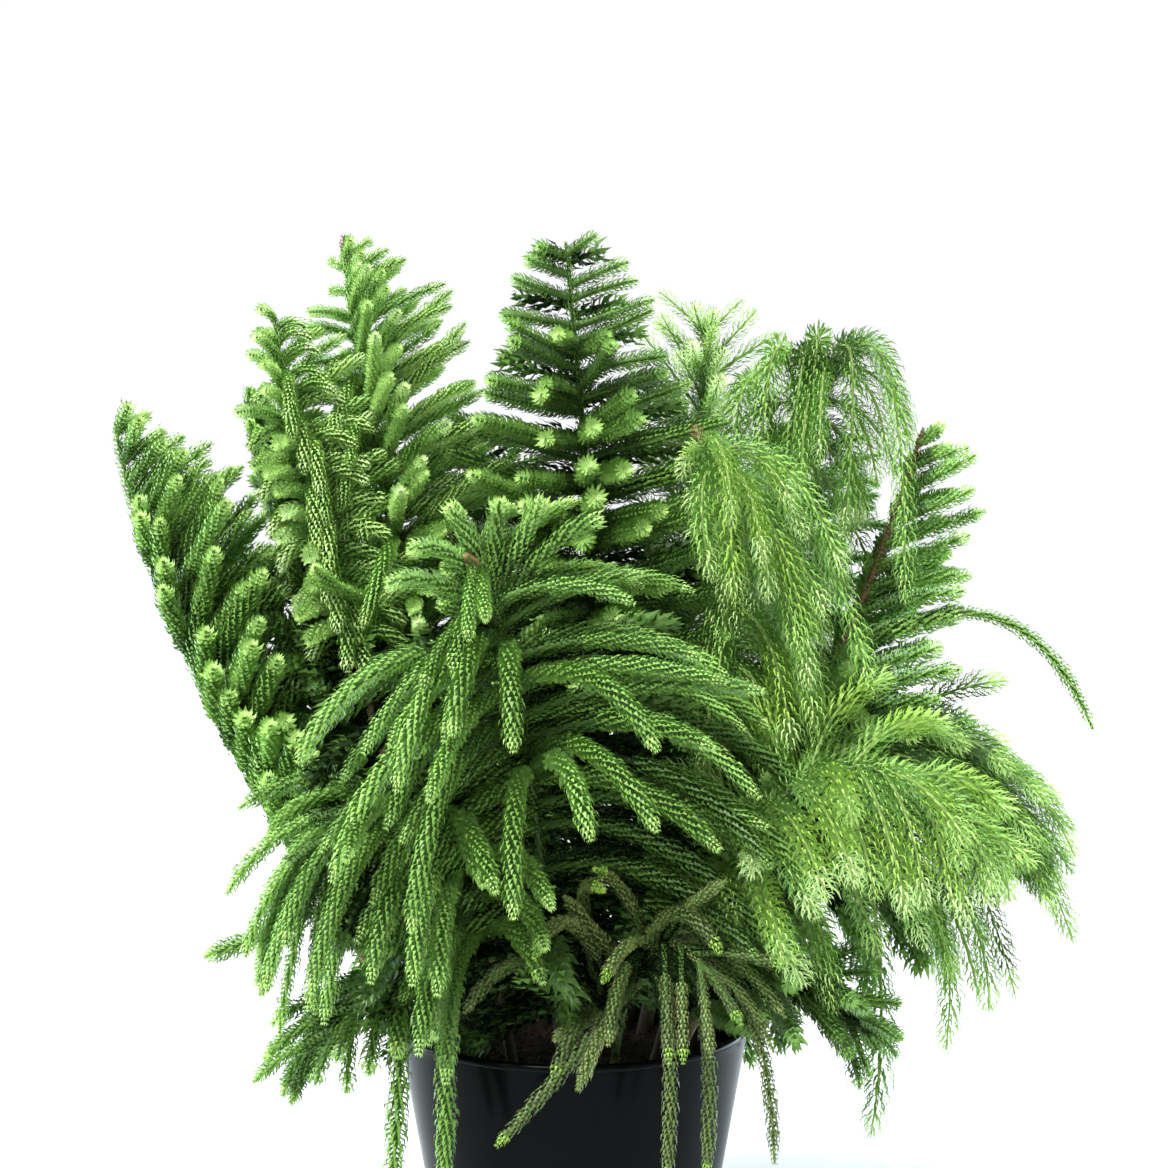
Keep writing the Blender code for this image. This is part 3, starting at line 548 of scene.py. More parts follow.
class PineColours(bpy.types.PropertyGroup):
    """The colours that a user would change."""

    # Deep is painted shade: the near-black green of needles deep in the bunch; it is also the
    # dark of the green bark's mottle.
    deep: colour("Deep", "Needles deep in the bunch", (0.011, 0.028, 0.006))
    # Dark is also the inner tone at most shoots' feet and a tone of the back and shaded
    # palettes, where it is partly old needles' own colour and partly painted shade.
    dark: colour("Dark", "Old needles", (0.085, 0.185, 0.033))
    mid: colour("Mid", "Grown needles", (0.185, 0.365, 0.066))
    fresh: colour("Fresh", "This year's needles", (0.290, 0.530, 0.118))
    # Fresh, light and pale also make up the sunlit palette, as painted light on the boughs at
    # the upper left.
    light: colour("Light", "Needles of a young tip", (0.450, 0.700, 0.195))
    pale: colour("Pale", "Needles of a pale tip", (0.570, 0.800, 0.310))
    yellow: colour("Yellow", "Yellow-green needles", (0.310, 0.520, 0.085))
    olive: colour("Olive", "Dull old needles", (0.120, 0.175, 0.048))
    dull: colour("Dull", "Dull young needles", (0.235, 0.300, 0.095))
    dry: colour("Dry", "Dry brown needles and buds", (0.260, 0.150, 0.065))
    twig: colour("Twig", "Green skin of a shoot", (0.110, 0.220, 0.048))
    twig_pale: colour("Pale twig", "Pale skin of a weeping shoot", (0.300, 0.430, 0.120))
    bark: colour("Bark", "Bark between the scars", (0.110, 0.085, 0.045))
    bark_light: colour("Light bark", "Bark on the scars", (0.260, 0.200, 0.110))
    pot: colour("Pot", "The pot's plastic", (0.0014, 0.0020, 0.0024))
    fill: colour("Fill", "The dark fill", (0.022, 0.016, 0.011))
    crumb: colour("Crumb", "Lighter crumbs on the fill", (0.070, 0.048, 0.030))
    floor: colour("Floor", "The pale floor", (0.640, 0.645, 0.650))


class PineLight(bpy.types.PropertyGroup):
    """The light that a user would change."""

    surround: FloatProperty(
        name="Surround", description="Strength of the light from behind and the sides",
        default=1.0)
    front: FloatProperty(
        name="Front", description="Strength of the light from the front", default=0.25)
    sun: FloatProperty(
        name="Overhead", description="Strength of the large light overhead", default=5.0)
    sides: FloatProperty(
        name="Sides", description="Power of the low light at each side", default=24.0)
    sun_angle: FloatProperty(
        name="Overhead width", description="How wide the light overhead looks",
        default=math.radians(30.0), subtype="ANGLE", unit="ROTATION")


def rgba(value):
    """A colour with full alpha."""
    return (*value, 1.0)


def feed(tree, node, inputs):
    """Fill a node's inputs, by name or number, from other nodes' sockets or plain values."""
    for name, value in inputs.items():
        if isinstance(value, bpy.types.NodeSocket):
            tree.links.new(value, node.inputs[name])
        else:
            node.inputs[name].default_value = value


def add_node(tree, kind, inputs=None, **settings):
    """A new node with its settings and inputs."""
    node = tree.nodes.new(kind)
    for name, value in settings.items():
        setattr(node, name, value)
    feed(tree, node, inputs or {})
    return node


def math_node(tree, operation, first, second, clamp=False):
    """A math node on two sockets or numbers."""
    node = add_node(tree, "ShaderNodeMath", {0: first, 1: second}, operation=operation,
                    use_clamp=clamp)
    return node.outputs[0]


def new_tree(name, kind, inputs, outputs):
    """A node tree with its named inputs, its named outputs, and the nodes for both."""
    tree = bpy.data.node_groups.new(name, kind)
    for label, socket_type, value in inputs:
        socket = tree.interface.new_socket(label, in_out="INPUT", socket_type=socket_type)
        if value is not None:
            socket.default_value = value
    for label, socket_type in outputs:
        tree.interface.new_socket(label, in_out="OUTPUT", socket_type=socket_type)
    start = tree.nodes.new("NodeGroupInput").outputs
    end = tree.nodes.new("NodeGroupOutput")
    return tree, start, end


def plain_material(name, value, roughness, shine):
    """A material of one base colour, for the many small leaves of a spray."""
    material = bpy.data.materials.new(name)
    material.use_nodes = True
    shader = material.node_tree.nodes["Principled BSDF"]
    shader.inputs["Base Color"].default_value = rgba(value)
    shader.inputs["Roughness"].default_value = roughness
    shader.inputs["Specular IOR Level"].default_value = shine
    return material


def mottle_group():
    """Shader group: two colours mixed by noise of a given scale, and the noise as height."""
    tree, start, end = new_tree(
        "Mottle", "ShaderNodeTree",
        (("First colour", "NodeSocketColor", (0.1, 0.1, 0.1, 1.0)),
         ("Second colour", "NodeSocketColor", (0.2, 0.2, 0.2, 1.0)),
         ("Scale", "NodeSocketFloat", 100.0), ("Sharpness", "NodeSocketFloat", 1.0)),
        (("Colour", "NodeSocketColor"), ("Mask", "NodeSocketFloat"),
         ("Height", "NodeSocketFloat")))
    place = add_node(tree, "ShaderNodeTexCoord").outputs["Object"]
    noise = add_node(tree, "ShaderNodeTexNoise", {
        "Vector": place, "Scale": start["Scale"], "Detail": NOISE_DETAIL,
        "Roughness": NOISE_ROUGHNESS}).outputs["Fac"]
    spread = math_node(tree, "SUBTRACT", noise, 0.5)
    spread = math_node(tree, "MULTIPLY", spread, start["Sharpness"])
    mask = math_node(tree, "ADD", spread, 0.5, clamp=True)
    mix = tree.nodes.new("ShaderNodeMix")
    mix.data_type = "RGBA"
    feed(tree, mix, {"Factor": mask, "A": start["First colour"], "B": start["Second colour"]})
    feed(tree, end, {"Colour": mix.outputs["Result"], "Mask": mask, "Height": noise})
    return tree


def mottled_material(name, first, second, scale, roughness, bump, sharpness=2.0):
    """A material whose colour, roughness and bump come from the mottle group."""
    group = bpy.data.node_groups.get("Mottle") or mottle_group()
    material = bpy.data.materials.new(name)
    material.use_nodes = True
    tree = material.node_tree
    mottle = add_node(tree, "ShaderNodeGroup", {
        "First colour": rgba(first), "Second colour": rgba(second), "Scale": scale,
        "Sharpness": sharpness}, node_tree=group).outputs
    rough = add_node(tree, "ShaderNodeMapRange", {
        "Value": mottle["Mask"], "To Min": roughness[0], "To Max": roughness[1]})
    relief = add_node(tree, "ShaderNodeBump", {
        "Strength": BUMP_STRENGTH, "Distance": bump, "Height": mottle["Height"]})
    feed(tree, tree.nodes["Principled BSDF"], {
        "Base Color": mottle["Colour"], "Roughness": rough.outputs["Result"],
        "Normal": relief.outputs["Normal"]})
    return material


def evaluated_mesh(thing):
    """The plain mesh that an object shows once its modifiers are worked out."""
    bpy.context.view_layer.update()
    graph = bpy.context.evaluated_depsgraph_get()
    return bpy.data.meshes.new_from_object(thing.evaluated_get(graph))


def add_object(name, mesh):
    """Give a mesh an object in the scene."""
    thing = bpy.data.objects.new(name, mesh)
    bpy.context.scene.collection.objects.link(thing)
    return thing


def drop(thing):
    """Remove a helper object and its data."""
    data = thing.data
    bpy.data.objects.remove(thing, do_unlink=True)
    bpy.data.meshes.remove(data)


def finish_piece(piece, slot, *nodes):
    """A piece rides on the root body, and may stand for nodes of the frame."""
    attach(piece, BODY)
    if nodes:
        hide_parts(*nodes)


def point_on(bough, share):
    """The point at a share of a bough's curve parameter."""
    rest = 1.0 - share
    foot = Vector((*bough.foot, LIMB_FOOT))
    knee = Vector(bough.knee) * 3.0 * rest * rest * share
    bend = Vector(bough.bend) * 3.0 * rest * share * share
    return foot * rest ** 3 + knee + bend + Vector(bough.tip) * share ** 3


class Route:
    """A bough's curve, read by the distance along it."""

    def __init__(self, bough):
        self.points = [point_on(bough, step / CURVE_STEPS) for step in range(CURVE_STEPS + 1)]
        self.marks = [0.0]
        for here, there in zip(self.points, self.points[1:]):
            self.marks.append(self.marks[-1] + (there - here).length)
        self.length = self.marks[-1]

    def at(self, distance):
        """The point and the direction at a distance from the foot."""
        step = 0
        while step < CURVE_STEPS - 1 and self.marks[step + 1] < distance:
            step += 1
        here = self.points[step]
        there = self.points[step + 1]
        share = (distance - self.marks[step]) / (self.marks[step + 1] - self.marks[step])
        return here.lerp(there, share), (there - here).normalized()


@dataclass
class Shoot:
    """A needled shoot: its points, the size of its needles there, its three tones, and
    whether other shoots hide it."""

    points: list
    sizes: list
    tones: list
    inner: bool = False


def shoot_share(bough, from_tip):
    """How long a side shoot is, as a share of the longest, by its place from the tip."""
    if from_tip < bough.peak:
        rise = math.sin(math.pi / 2.0 * from_tip / bough.peak)
        return bough.tip_share + (1.0 - bough.tip_share) * rise
    fall = (from_tip - bough.peak) / (1.0 - bough.peak)
    return 1.0 - (1.0 - bough.foot_share) * fall ** 2


def needle_sizes(count, girth):
    """The size of the needles along a shoot: smaller at its foot, and rounding off its tip."""
    sizes = []
    for step in range(count):
        share = step / (count - 1)
        foot = min(1.0, FOOT_SIZE + share * FOOT_RISE)
        past = max(0.0, (share - (1.0 - ROUND_SHARE)) / ROUND_SHARE)
        tip = math.sqrt(max(0.0, 1.0 - past ** 2))
        sizes.append(girth * foot * (END_SIZE + (1.0 - END_SIZE) * tip))
    return sizes


def side_shoot(bough, route, distance, row, size, chance):
    """The points of one side shoot, which leaves the bough and bends under its weight."""
    start, along = route.at(distance)
    face = Vector(bough.face)
    face = (face - along * face.dot(along)).normalized()
    from_tip = (route.length - distance) / (route.length * (1.0 - bough.bare))
    tip_angle, foot_angle = bough.angles
    angle = tip_angle + (foot_angle - tip_angle) * min(from_tip, FARTHEST_ANGLE)
    angle = math.radians(angle + chance.uniform(-ANGLE_RANGE, ANGLE_RANGE))
    turn = math.radians(row.turn + chance.uniform(-LIFT_RANGE, LIFT_RANGE))
    outward = along.cross(face) * math.sin(turn) + face * math.cos(turn)
    heading = along * math.cos(angle) + outward * math.sin(angle)
    length = bough.longest * row.size * shoot_share(bough, from_tip) * size
    length = max(length, SHORTEST_SHOOT)
    wander = Vector([chance.uniform(-WANDER, WANDER) for _ in range(3)])
    curl = heading.orthogonal().normalized() * row.curl * chance.uniform(-1.0, 1.0)
    points = [start]
    for _ in range(SHOOT_STEPS):
        heading = (heading + (DOWN * row.droop + wander + curl) / SHOOT_STEPS).normalized()
        points.append(points[-1] + heading * length / SHOOT_STEPS)
    return points


def strand_points(route, strand):
    """The points of a long single shoot, an arc from the bough to its tip."""
    share, over, tip = strand[:3]
    start, _ = route.at(route.length * share)
    points = []
    for step in range(STRAND_STEPS + 1):
        part = step / STRAND_STEPS
        first = start.lerp(Vector(over), part)
        points.append(first.lerp(Vector(over).lerp(Vector(tip), part), part))
    return points


def all_rows(bough):
    """A bough's two side rows and its further ones."""
    turn = 90.0 - bough.lift
    for side, way in enumerate((1.0, -1.0)):
        if bough.row_sizes[side] > 0.0:
            yield Row(turn * way, bough.droop[side], bough.row_sizes[side],
                      gap=bough.spacing)
    yield from bough.rows


def dealt(palette, chance):
    """A tone for each of a shoot's three parts, dealt out of a palette."""
    return [TONES.index(chance.choice(tones)) for tones in PALETTES[palette]]


def leader_shoot(bough, route, first, chance):
    """The needled end of the limb itself, from a distance to its tip."""
    needled = route.length - first
    steps = round(needled / LEADER_STEP)
    points = [route.at(first + needled * step / steps)[0] for step in range(steps + 1)]
    tones = [TONES.index(bough.leader)] * 3 if bough.leader else dealt(bough.palette, chance)
    slim = DRY_LEADER_SIZE if bough.leader else YOUNG_GIRTH
    return Shoot(points, needle_sizes(len(points), bough.girth * slim), tones)


def row_shoots(bough, route, first, row, chance):
    """The shoots of one row, none of which starts below the limb's foot or the pot's rim."""
    needled = route.length - first
    low, high = row.span
    count = max(2, round(needled * (high - low) / row.gap))
    inner = row.shade in HIDDEN_SHADES
    shoots = []
    for step in range(count):
        place = low + (high - low) * (step + chance.uniform(*PLACE_RANGE)) / count
        distance = first + needled * min(place, TOP_PLACE)
        if distance < 0.0 or route.at(distance)[0].z < LOWEST_SHOOT:
            continue
        size = chance.uniform(*SIZE_RANGE)
        points = side_shoot(bough, route, distance, row, size, chance)
        grown = YOUNG_GIRTH + (1.0 - place) * (1.0 - YOUNG_GIRTH) * YOUNG_RISE
        girth = INNER_GIRTH if inner else bough.girth * min(1.0, grown)
        tones = dealt(row.shade or bough.palette, chance)
        shoots.append(Shoot(points, needle_sizes(len(points), girth), tones, inner))
    return shoots


def strand_shoot(bough, route, strand, chance):
    """A long single shoot."""
    points = strand_points(route, strand)
    girth = strand[3] if len(strand) > 3 else bough.girth
    return Shoot(points, needle_sizes(len(points), girth), dealt(bough.palette, chance))


def bud_shoot(route):
    """The dry bud at the tip of a bough."""
    tip, along = route.at(route.length)
    last = len(BUD_SIZES) - 1
    points = [tip + along * BUD_LENGTH * (step / last - 0.5) for step in range(last + 1)]
    return Shoot(points, list(BUD_SIZES), [TONES.index("dry")] * 3)


def grow_bough(bough, route):
    """Every shoot of a bough: its leader, its rows, its strands and its bud."""
    chance = random.Random(bough.name)
    first = route.length * bough.bare
    shoots = [leader_shoot(bough, route, first, chance)]
    for row in all_rows(bough):
        shoots += row_shoots(bough, route, first, row, chance)
    for strand in bough.strands:
        shoots.append(strand_shoot(bough, route, strand, chance))
    if bough.bud:
        shoots.append(bud_shoot(route))
    return shoots


def transported(points):
    """Two cross directions at each point of a line, carried along it without twist."""
    tangents = [(b - a).normalized() for a, b in zip(points, points[1:])]
    tangents.append(tangents[-1])
    cross = tangents[0].orthogonal().normalized()
    frames = []
    for tangent in tangents:
        cross = (cross - tangent * cross.dot(tangent)).normalized()
        frames.append((cross, tangent.cross(cross)))
    return frames


def tube_arrays(points, radii, sides, start):
    """Vertices and faces of a closed tube along points, with radii[ring][side]."""
    verts = []
    faces = []
    frames = transported(points)
    for ring, (point, (right, up)) in enumerate(zip(points, frames)):
        for side in range(sides):
            angle = 2.0 * math.pi * side / sides
            reach = right * math.cos(angle) + up * math.sin(angle)
            verts.append(point + reach * radii[ring][side])
    for ring in range(len(points) - 1):
        for side in range(sides):
            a = start + ring * sides + side
            b = start + ring * sides + (side + 1) % sides
            faces.append((a, b, b + sides, a + sides))
    last = start + (len(points) - 1) * sides
    faces.append(tuple(start + side for side in reversed(range(sides))))
    faces.append(tuple(last + side for side in range(sides)))
    return verts, faces


def scarred_radii(bough, distances, length, relief):
    """A limb's radii: its taper, a lattice of leaf scars, and small unevenness."""
    chance = random.Random(bough.name + "_bark")
    bare = length * bough.bare
    radii = []
    for distance in distances:
        if distance < bare:
            radius = bough.limb_radius * (1.0 - (1.0 - LIMB_END_SHARE) * distance / bare)
        else:
            share = (distance - bare) / (length - bare)
            end = bough.limb_radius * LIMB_END_SHARE
            radius = end + (LEADER_TIP_RADIUS - end) * share
        line = []
        for side in range(LIMB_SIDES):
            angle = 2.0 * math.pi * side / LIMB_SIDES
            turn = distance / SCAR_RISE * math.pi
            column = SCAR_COLUMNS * angle
            scar = math.cos(column + turn) * math.cos(column - turn)
            lump = chance.uniform(-BARK_UNEVENNESS, BARK_UNEVENNESS)
            rough = relief * (SCAR_DEPTH * scar + lump)
            line.append(radius * (1.0 + rough))
        radii.append(line)
    return radii


def limb_mesh(bough, route, relief):
    """A bough's bark, from inside the fill to its tip."""
    count = round(route.length / LIMB_RING_GAP)
    distances = [route.length * ring / count for ring in range(count + 1)]
    points = [route.at(distance)[0] for distance in distances]
    radii = scarred_radii(bough, distances, route.length, relief)
    verts, faces = tube_arrays(points, radii, LIMB_SIDES, 0)
    mesh = bpy.data.meshes.new(bough.name + "_bark")
    mesh.from_pydata(verts, [], faces)
    mesh.shade_smooth()
    for number, face in enumerate(mesh.polygons):
        distance = distances[number // LIMB_SIDES]
        # The lower part of the bare limb takes the darker bark: painted shade deep in the
        # bunch.
        if distance < route.length * bough.bare * SHADED_BARK_SHARE:
            face.material_index = 1
        elif distance > route.length * bough.bare and not bough.leader:
            face.material_index = 2
    return mesh


def twig_mesh(bough, shoots):
    """The thin stems of all of a bough's side shoots, as one mesh."""
    thick = KINDS[bough.kind].twig_radius * bough.girth
    verts = []
    faces = []
    for shoot in shoots[1:]:
        last = len(shoot.points) - 1
        radii = []
        for step in range(last + 1):
            radius = thick * (1.0 - TWIG_TAPER * step / last)
            radii.append([radius] * TWIG_SIDES)
        more, rings = tube_arrays(shoot.points, radii, TWIG_SIDES, len(verts))
        verts += more
        faces += rings
    mesh = bpy.data.meshes.new(bough.name + "_twigs")
    mesh.from_pydata(verts, [], faces)
    mesh.shade_smooth()
    return mesh


def needle(kind, out, across, rise, size, lean):
    """One needle: a blade that starts beside the shoot's middle, is widest at its first
    bend, and ends in a point."""
    bends = []
    for reach, along in kind.curve:
        bends.append(out * reach * size * lean + UP * along * size + rise)
    base = out * NEEDLE_START + rise
    half = across * kind.width * 0.5
    tip = bends[-1]
    if len(bends) == 2:
        foot = half * FOOT_WIDTH
        verts = [base - foot, base + foot, bends[0] - half, bends[0] + half, tip]
        return verts, [(0, 1, 3), (0, 3, 2), (2, 3, 4)]
    second = half * SECOND_WIDTH
    verts = [base, bends[0] - half, bends[0] + half, bends[1] - second, bends[1] + second, tip]
    return verts, [(0, 1, 2), (1, 3, 4), (1, 4, 2), (3, 5, 4)]


def whorl_mesh(name, kind, chance):
    """One row of needles round a shoot that runs along +Z."""
    verts = []
    faces = []
    for number in range(kind.count):
        shift = chance.uniform(-RING_UNEVENNESS, RING_UNEVENNESS)
        angle = 2.0 * math.pi * (number + shift) / kind.count
        out = Vector((math.cos(angle), math.sin(angle), 0.0))
        across = Vector((-math.sin(angle), math.cos(angle), 0.0))
        rise = UP * kind.row_gap * chance.uniform(0.0, RING_SPREAD)
        size = chance.uniform(*NEEDLE_SIZES)
        points, blades = needle(kind, out, across, rise, size, chance.uniform(*LEAN_RANGE))
        faces += [tuple(corner + len(verts) for corner in blade) for blade in blades]
        verts += points
    mesh = bpy.data.meshes.new(name)
    mesh.from_pydata(verts, [], faces)
    return mesh


def whorl_collections():
    """For each kind of needle, a collection of a few uneven rows to choose from."""
    found = {}
    for name, kind in KINDS.items():
        chance = random.Random(name)
        collection = bpy.data.collections.new(name + "_rows")
        for number in range(WHORL_VARIANTS):
            mesh = whorl_mesh(f"{name}_row_{number}", kind, chance)
            collection.objects.link(bpy.data.objects.new(mesh.name, mesh))
        found[name] = collection
    return found


def named(tree, name, kind):
    """The values of a named attribute."""
    node = add_node(tree, "GeometryNodeInputNamedAttribute", data_type=kind)
    node.inputs["Name"].default_value = name
    return node.outputs["Attribute"]


def store(tree, geometry, name, kind, value):
    """Store values under a name on the points of a geometry."""
    node = add_node(tree, "GeometryNodeStoreNamedAttribute", data_type=kind, domain="POINT")
    feed(tree, node, {"Geometry": geometry, "Name": name, "Value": value})
    return node.outputs["Geometry"]


def either(tree, test, no, yes):
    """One of two whole numbers, by a test."""
    node = add_node(tree, "GeometryNodeSwitch", input_type="INT")
    feed(tree, node, {"Switch": test, "False": no, "True": yes})
    return node.outputs["Output"]


def compared(tree, operation, first, second):
    """Whether a number is less or more than another."""
    node = add_node(tree, "FunctionNodeCompare", data_type="FLOAT", operation=operation)
    feed(tree, node, {"A": first, "B": second})
    return node.outputs["Result"]


def shade_number(tree, young_length):
    """The number of the tone at a point: its line's inner one, darker as old needles and
    painted shade, or its grown or young one.
    """
    inner = compared(tree, "GREATER_THAN", named(tree, "left_share", "FLOAT"),
                     1.0 - INNER_SHARE)
    young = compared(tree, "LESS_THAN", named(tree, "left", "FLOAT"), young_length)
    grown = either(tree, inner, named(tree, "tone", "INT"), named(tree, "inner_tone", "INT"))
    return either(tree, young, grown, named(tree, "tip_tone", "INT"))


def facing_along(tree, tangent, index, turn):
    """A rotation that faces along a line, and turns with each point's number."""
    facing = add_node(tree, "FunctionNodeAlignRotationToVector", {"Vector": tangent}, axis="Z")
    angle = math_node(tree, "MULTIPLY", index, turn)
    spin = add_node(tree, "FunctionNodeAxisAngleToRotation", {"Axis": UP[:], "Angle": angle})
    turned = add_node(tree, "FunctionNodeRotateRotation", {
        "Rotation": facing.outputs["Rotation"], "Rotate By": spin.outputs["Rotation"]},
        rotation_space="LOCAL")
    return turned.outputs["Rotation"]


def uneven_size(tree, scale, unevenness, seed):
    """The size of a row: its line's, times the scale, more or less by some unevenness."""
    uneven = add_node(tree, "FunctionNodeRandomValue", {"Seed": seed}, data_type="FLOAT")
    low, high = [socket for socket in uneven.inputs if socket.type == "VALUE"][:2]
    tree.links.new(math_node(tree, "SUBTRACT", 1.0, unevenness), low)
    tree.links.new(math_node(tree, "ADD", 1.0, unevenness), high)
    drawn = [socket for socket in uneven.outputs if socket.type == "VALUE"][0]
    size = math_node(tree, "MULTIPLY", named(tree, "size", "FLOAT"), scale)
    return math_node(tree, "MULTIPLY", size, drawn)


def painted(tree, geometry, number, material):
    """The geometry with a material on the faces of one shade number."""
    same = add_node(tree, "FunctionNodeCompare", data_type="INT", operation="EQUAL")
    shade, wanted = [socket for socket in same.inputs if socket.type == "INT"][:2]
    tree.links.new(named(tree, "shade", "INT"), shade)
    wanted.default_value = number
    paint = add_node(tree, "GeometryNodeSetMaterial", {
        "Geometry": geometry, "Material": material, "Selection": same.outputs["Result"]})
    return paint.outputs["Geometry"]


def needle_tree(materials):
    """Geometry Nodes: rows of needles along every line of a mesh, each row turned on the
    last, scaled by the line's size and coloured by the line's tone for its inner, grown or
    young part."""
    tree, start, end = new_tree(
        "Needle rows", "GeometryNodeTree",
        (("Shoots", "NodeSocketGeometry", None), ("Rows", "NodeSocketCollection", None),
         ("Row gap", "NodeSocketFloat", 0.003), ("Turn", "NodeSocketFloat", 0.5),
         ("Scale", "NodeSocketFloat", 1.0), ("Unevenness", "NodeSocketFloat", 0.1),
         ("Young length", "NodeSocketFloat", 0.012), ("Seed", "NodeSocketInt", 0)),
        (("Needles", "NodeSocketGeometry"),))

    lines = add_node(tree, "GeometryNodeMeshToCurve", {"Mesh": start["Shoots"]})
    along = add_node(tree, "GeometryNodeSplineParameter").outputs["Length"]
    whole = add_node(tree, "GeometryNodeSplineLength").outputs["Length"]
    left = math_node(tree, "SUBTRACT", whole, along)
    marked = store(tree, lines.outputs["Curve"], "left", "FLOAT", left)
    share = math_node(tree, "DIVIDE", left, whole)
    marked = store(tree, marked, "left_share", "FLOAT", share)
    rows = add_node(tree, "GeometryNodeCurveToPoints", mode="LENGTH")
    feed(tree, rows, {"Curve": marked, "Length": start["Row gap"]})
    toned = store(tree, rows.outputs["Points"], "shade", "INT",
                  shade_number(tree, start["Young length"]))

    index = add_node(tree, "GeometryNodeInputIndex").outputs[0]
    turned = facing_along(tree, rows.outputs["Tangent"], index, start["Turn"])
    size = uneven_size(tree, start["Scale"], start["Unevenness"], start["Seed"])
    variants = add_node(tree, "GeometryNodeCollectionInfo", {
        "Collection": start["Rows"], "Separate Children": True, "Reset Children": True})
    place = add_node(tree, "GeometryNodeInstanceOnPoints", {
        "Points": toned, "Instance": variants.outputs["Instances"], "Pick Instance": True,
        "Instance Index": index, "Rotation": turned, "Scale": size})
    real = add_node(tree, "GeometryNodeRealizeInstances", {
        "Geometry": place.outputs["Instances"]})

    geometry = real.outputs["Geometry"]
    for number, material in enumerate(materials):
        geometry = painted(tree, geometry, number, material)
    feed(tree, end, {"Needles": geometry})
    return tree


def set_inputs(modifier, values):
    """Set a Geometry Nodes modifier's inputs by their names."""
    for item in modifier.node_group.interface.items_tree:
        if item.item_type == "SOCKET" and item.in_out == "INPUT" and item.name in values:
            modifier[item.identifier] = values[item.name]


def shoot_lines(name, shoots):
    """The shoots as lines of edges that carry the needles' size and tones."""
    verts = []
    edges = []
    sizes = []
    tones = ([], [], [])
    for shoot in shoots:
        first = len(verts)
        count = len(shoot.points)
        verts += shoot.points
        edges += [(first + step, first + step + 1) for step in range(count - 1)]
        sizes += shoot.sizes
        for values, tone in zip(tones, shoot.tones):
            values += [tone] * count
    mesh = bpy.data.meshes.new(name)
    mesh.from_pydata(verts, edges, [])
    mesh.attributes.new("size", "FLOAT", "POINT").data.foreach_set("value", sizes)
    for label, values in zip(TONE_NAMES, tones):
        mesh.attributes.new(label, "INT", "POINT").data.foreach_set("value", values)
    return mesh


def needled_mesh(name, kind_name, shoots, girth, tree, rows, sizes):
    """The needles of some shoots as one plain mesh."""
    kind = KINDS[kind_name]
    lines = add_object(name + "_lines", shoot_lines(name, shoots))
    modifier = lines.modifiers.new("Needles", "NODES")
    modifier.node_group = tree
    set_inputs(modifier, {
        "Rows": rows[kind_name],
        "Row gap": kind.row_gap * girth,
        "Turn": sizes.turn,
        "Scale": sizes.needle_scale,
        "Unevenness": sizes.needle_jitter,
        "Young length": kind.young,
        "Seed": sizes.seed,
    })
    mesh = evaluated_mesh(lines)
    drop(lines)
    for label in ("size", "left", "left_share", "shade", *TONE_NAMES):
        if label in mesh.attributes:
            mesh.attributes.remove(mesh.attributes[label])
    if not mesh.polygons:
        raise RuntimeError(name + " grew no needles")
    mesh.name = name + "_needles"
    return mesh


def foliage_nodes(bough):
    """The frame's nodes that a bough's needles stand for."""
    starts = (bough.name + "_foliage", bough.name + "_shoot_")
    return [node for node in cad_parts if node.startswith(starts)]


def grown_boughs():
    """Each bough with its route and its shoots."""
    for bough in BOUGHS:
        route = Route(bough)
        yield bough, route, grow_bough(bough, route)


class PINE_OT_limbs(bpy.types.Operator):
    """Make the bark of every bough, with its scars, in place of the plain limbs"""

    bl_idname = "pine.limbs"
    bl_label = "Limbs"

    def execute(self, context):
        sizes = context.scene.pine_sizes
        colours = context.scene.pine_colours
        bark = mottled_material("bark", colours.bark, colours.bark_light, scale=BARK_GRAIN,
                                roughness=(0.70, 0.92), bump=0.0006)
        # Darker bark for the lower part of each bare limb: painted shade deep in the bunch.
        darker = [value * SHADED_BARK_TONE for value in colours.bark]
        old = mottled_material("bark_old", darker, colours.bark, scale=BARK_GRAIN,
                               roughness=(0.75, 0.95), bump=0.0006)
        green = mottled_material("bark_green", colours.twig, colours.deep, scale=BARK_GRAIN,
                                 roughness=(0.60, 0.80), bump=0.0004)
        for bough in BOUGHS:
            piece = add_object(bough.name + "_bark",
                               limb_mesh(bough, Route(bough), sizes.bark_relief))
            for material in (bark, old, green):
                piece.data.materials.append(material)
            finish_piece(piece, "bark", bough.name + "_limb")
        return {"FINISHED"}


class PINE_OT_twigs(bpy.types.Operator):
    """Make the thin stems of the side shoots, joined for each bough"""

    bl_idname = "pine.twigs"
    bl_label = "Twigs"

    def execute(self, context):
        colours = context.scene.pine_colours
        twig = plain_material("twig", colours.twig, roughness=0.6, shine=NEEDLE_SHINE)
        pale = plain_material("twig_pale", colours.twig_pale, roughness=0.5,
                              shine=NEEDLE_SHINE)
        for bough, _, shoots in grown_boughs():
            piece = add_object(bough.name + "_twigs", twig_mesh(bough, shoots))
            piece.data.materials.append(pale if bough.kind == "brush" else twig)
            finish_piece(piece, "bark")
        return {"FINISHED"}


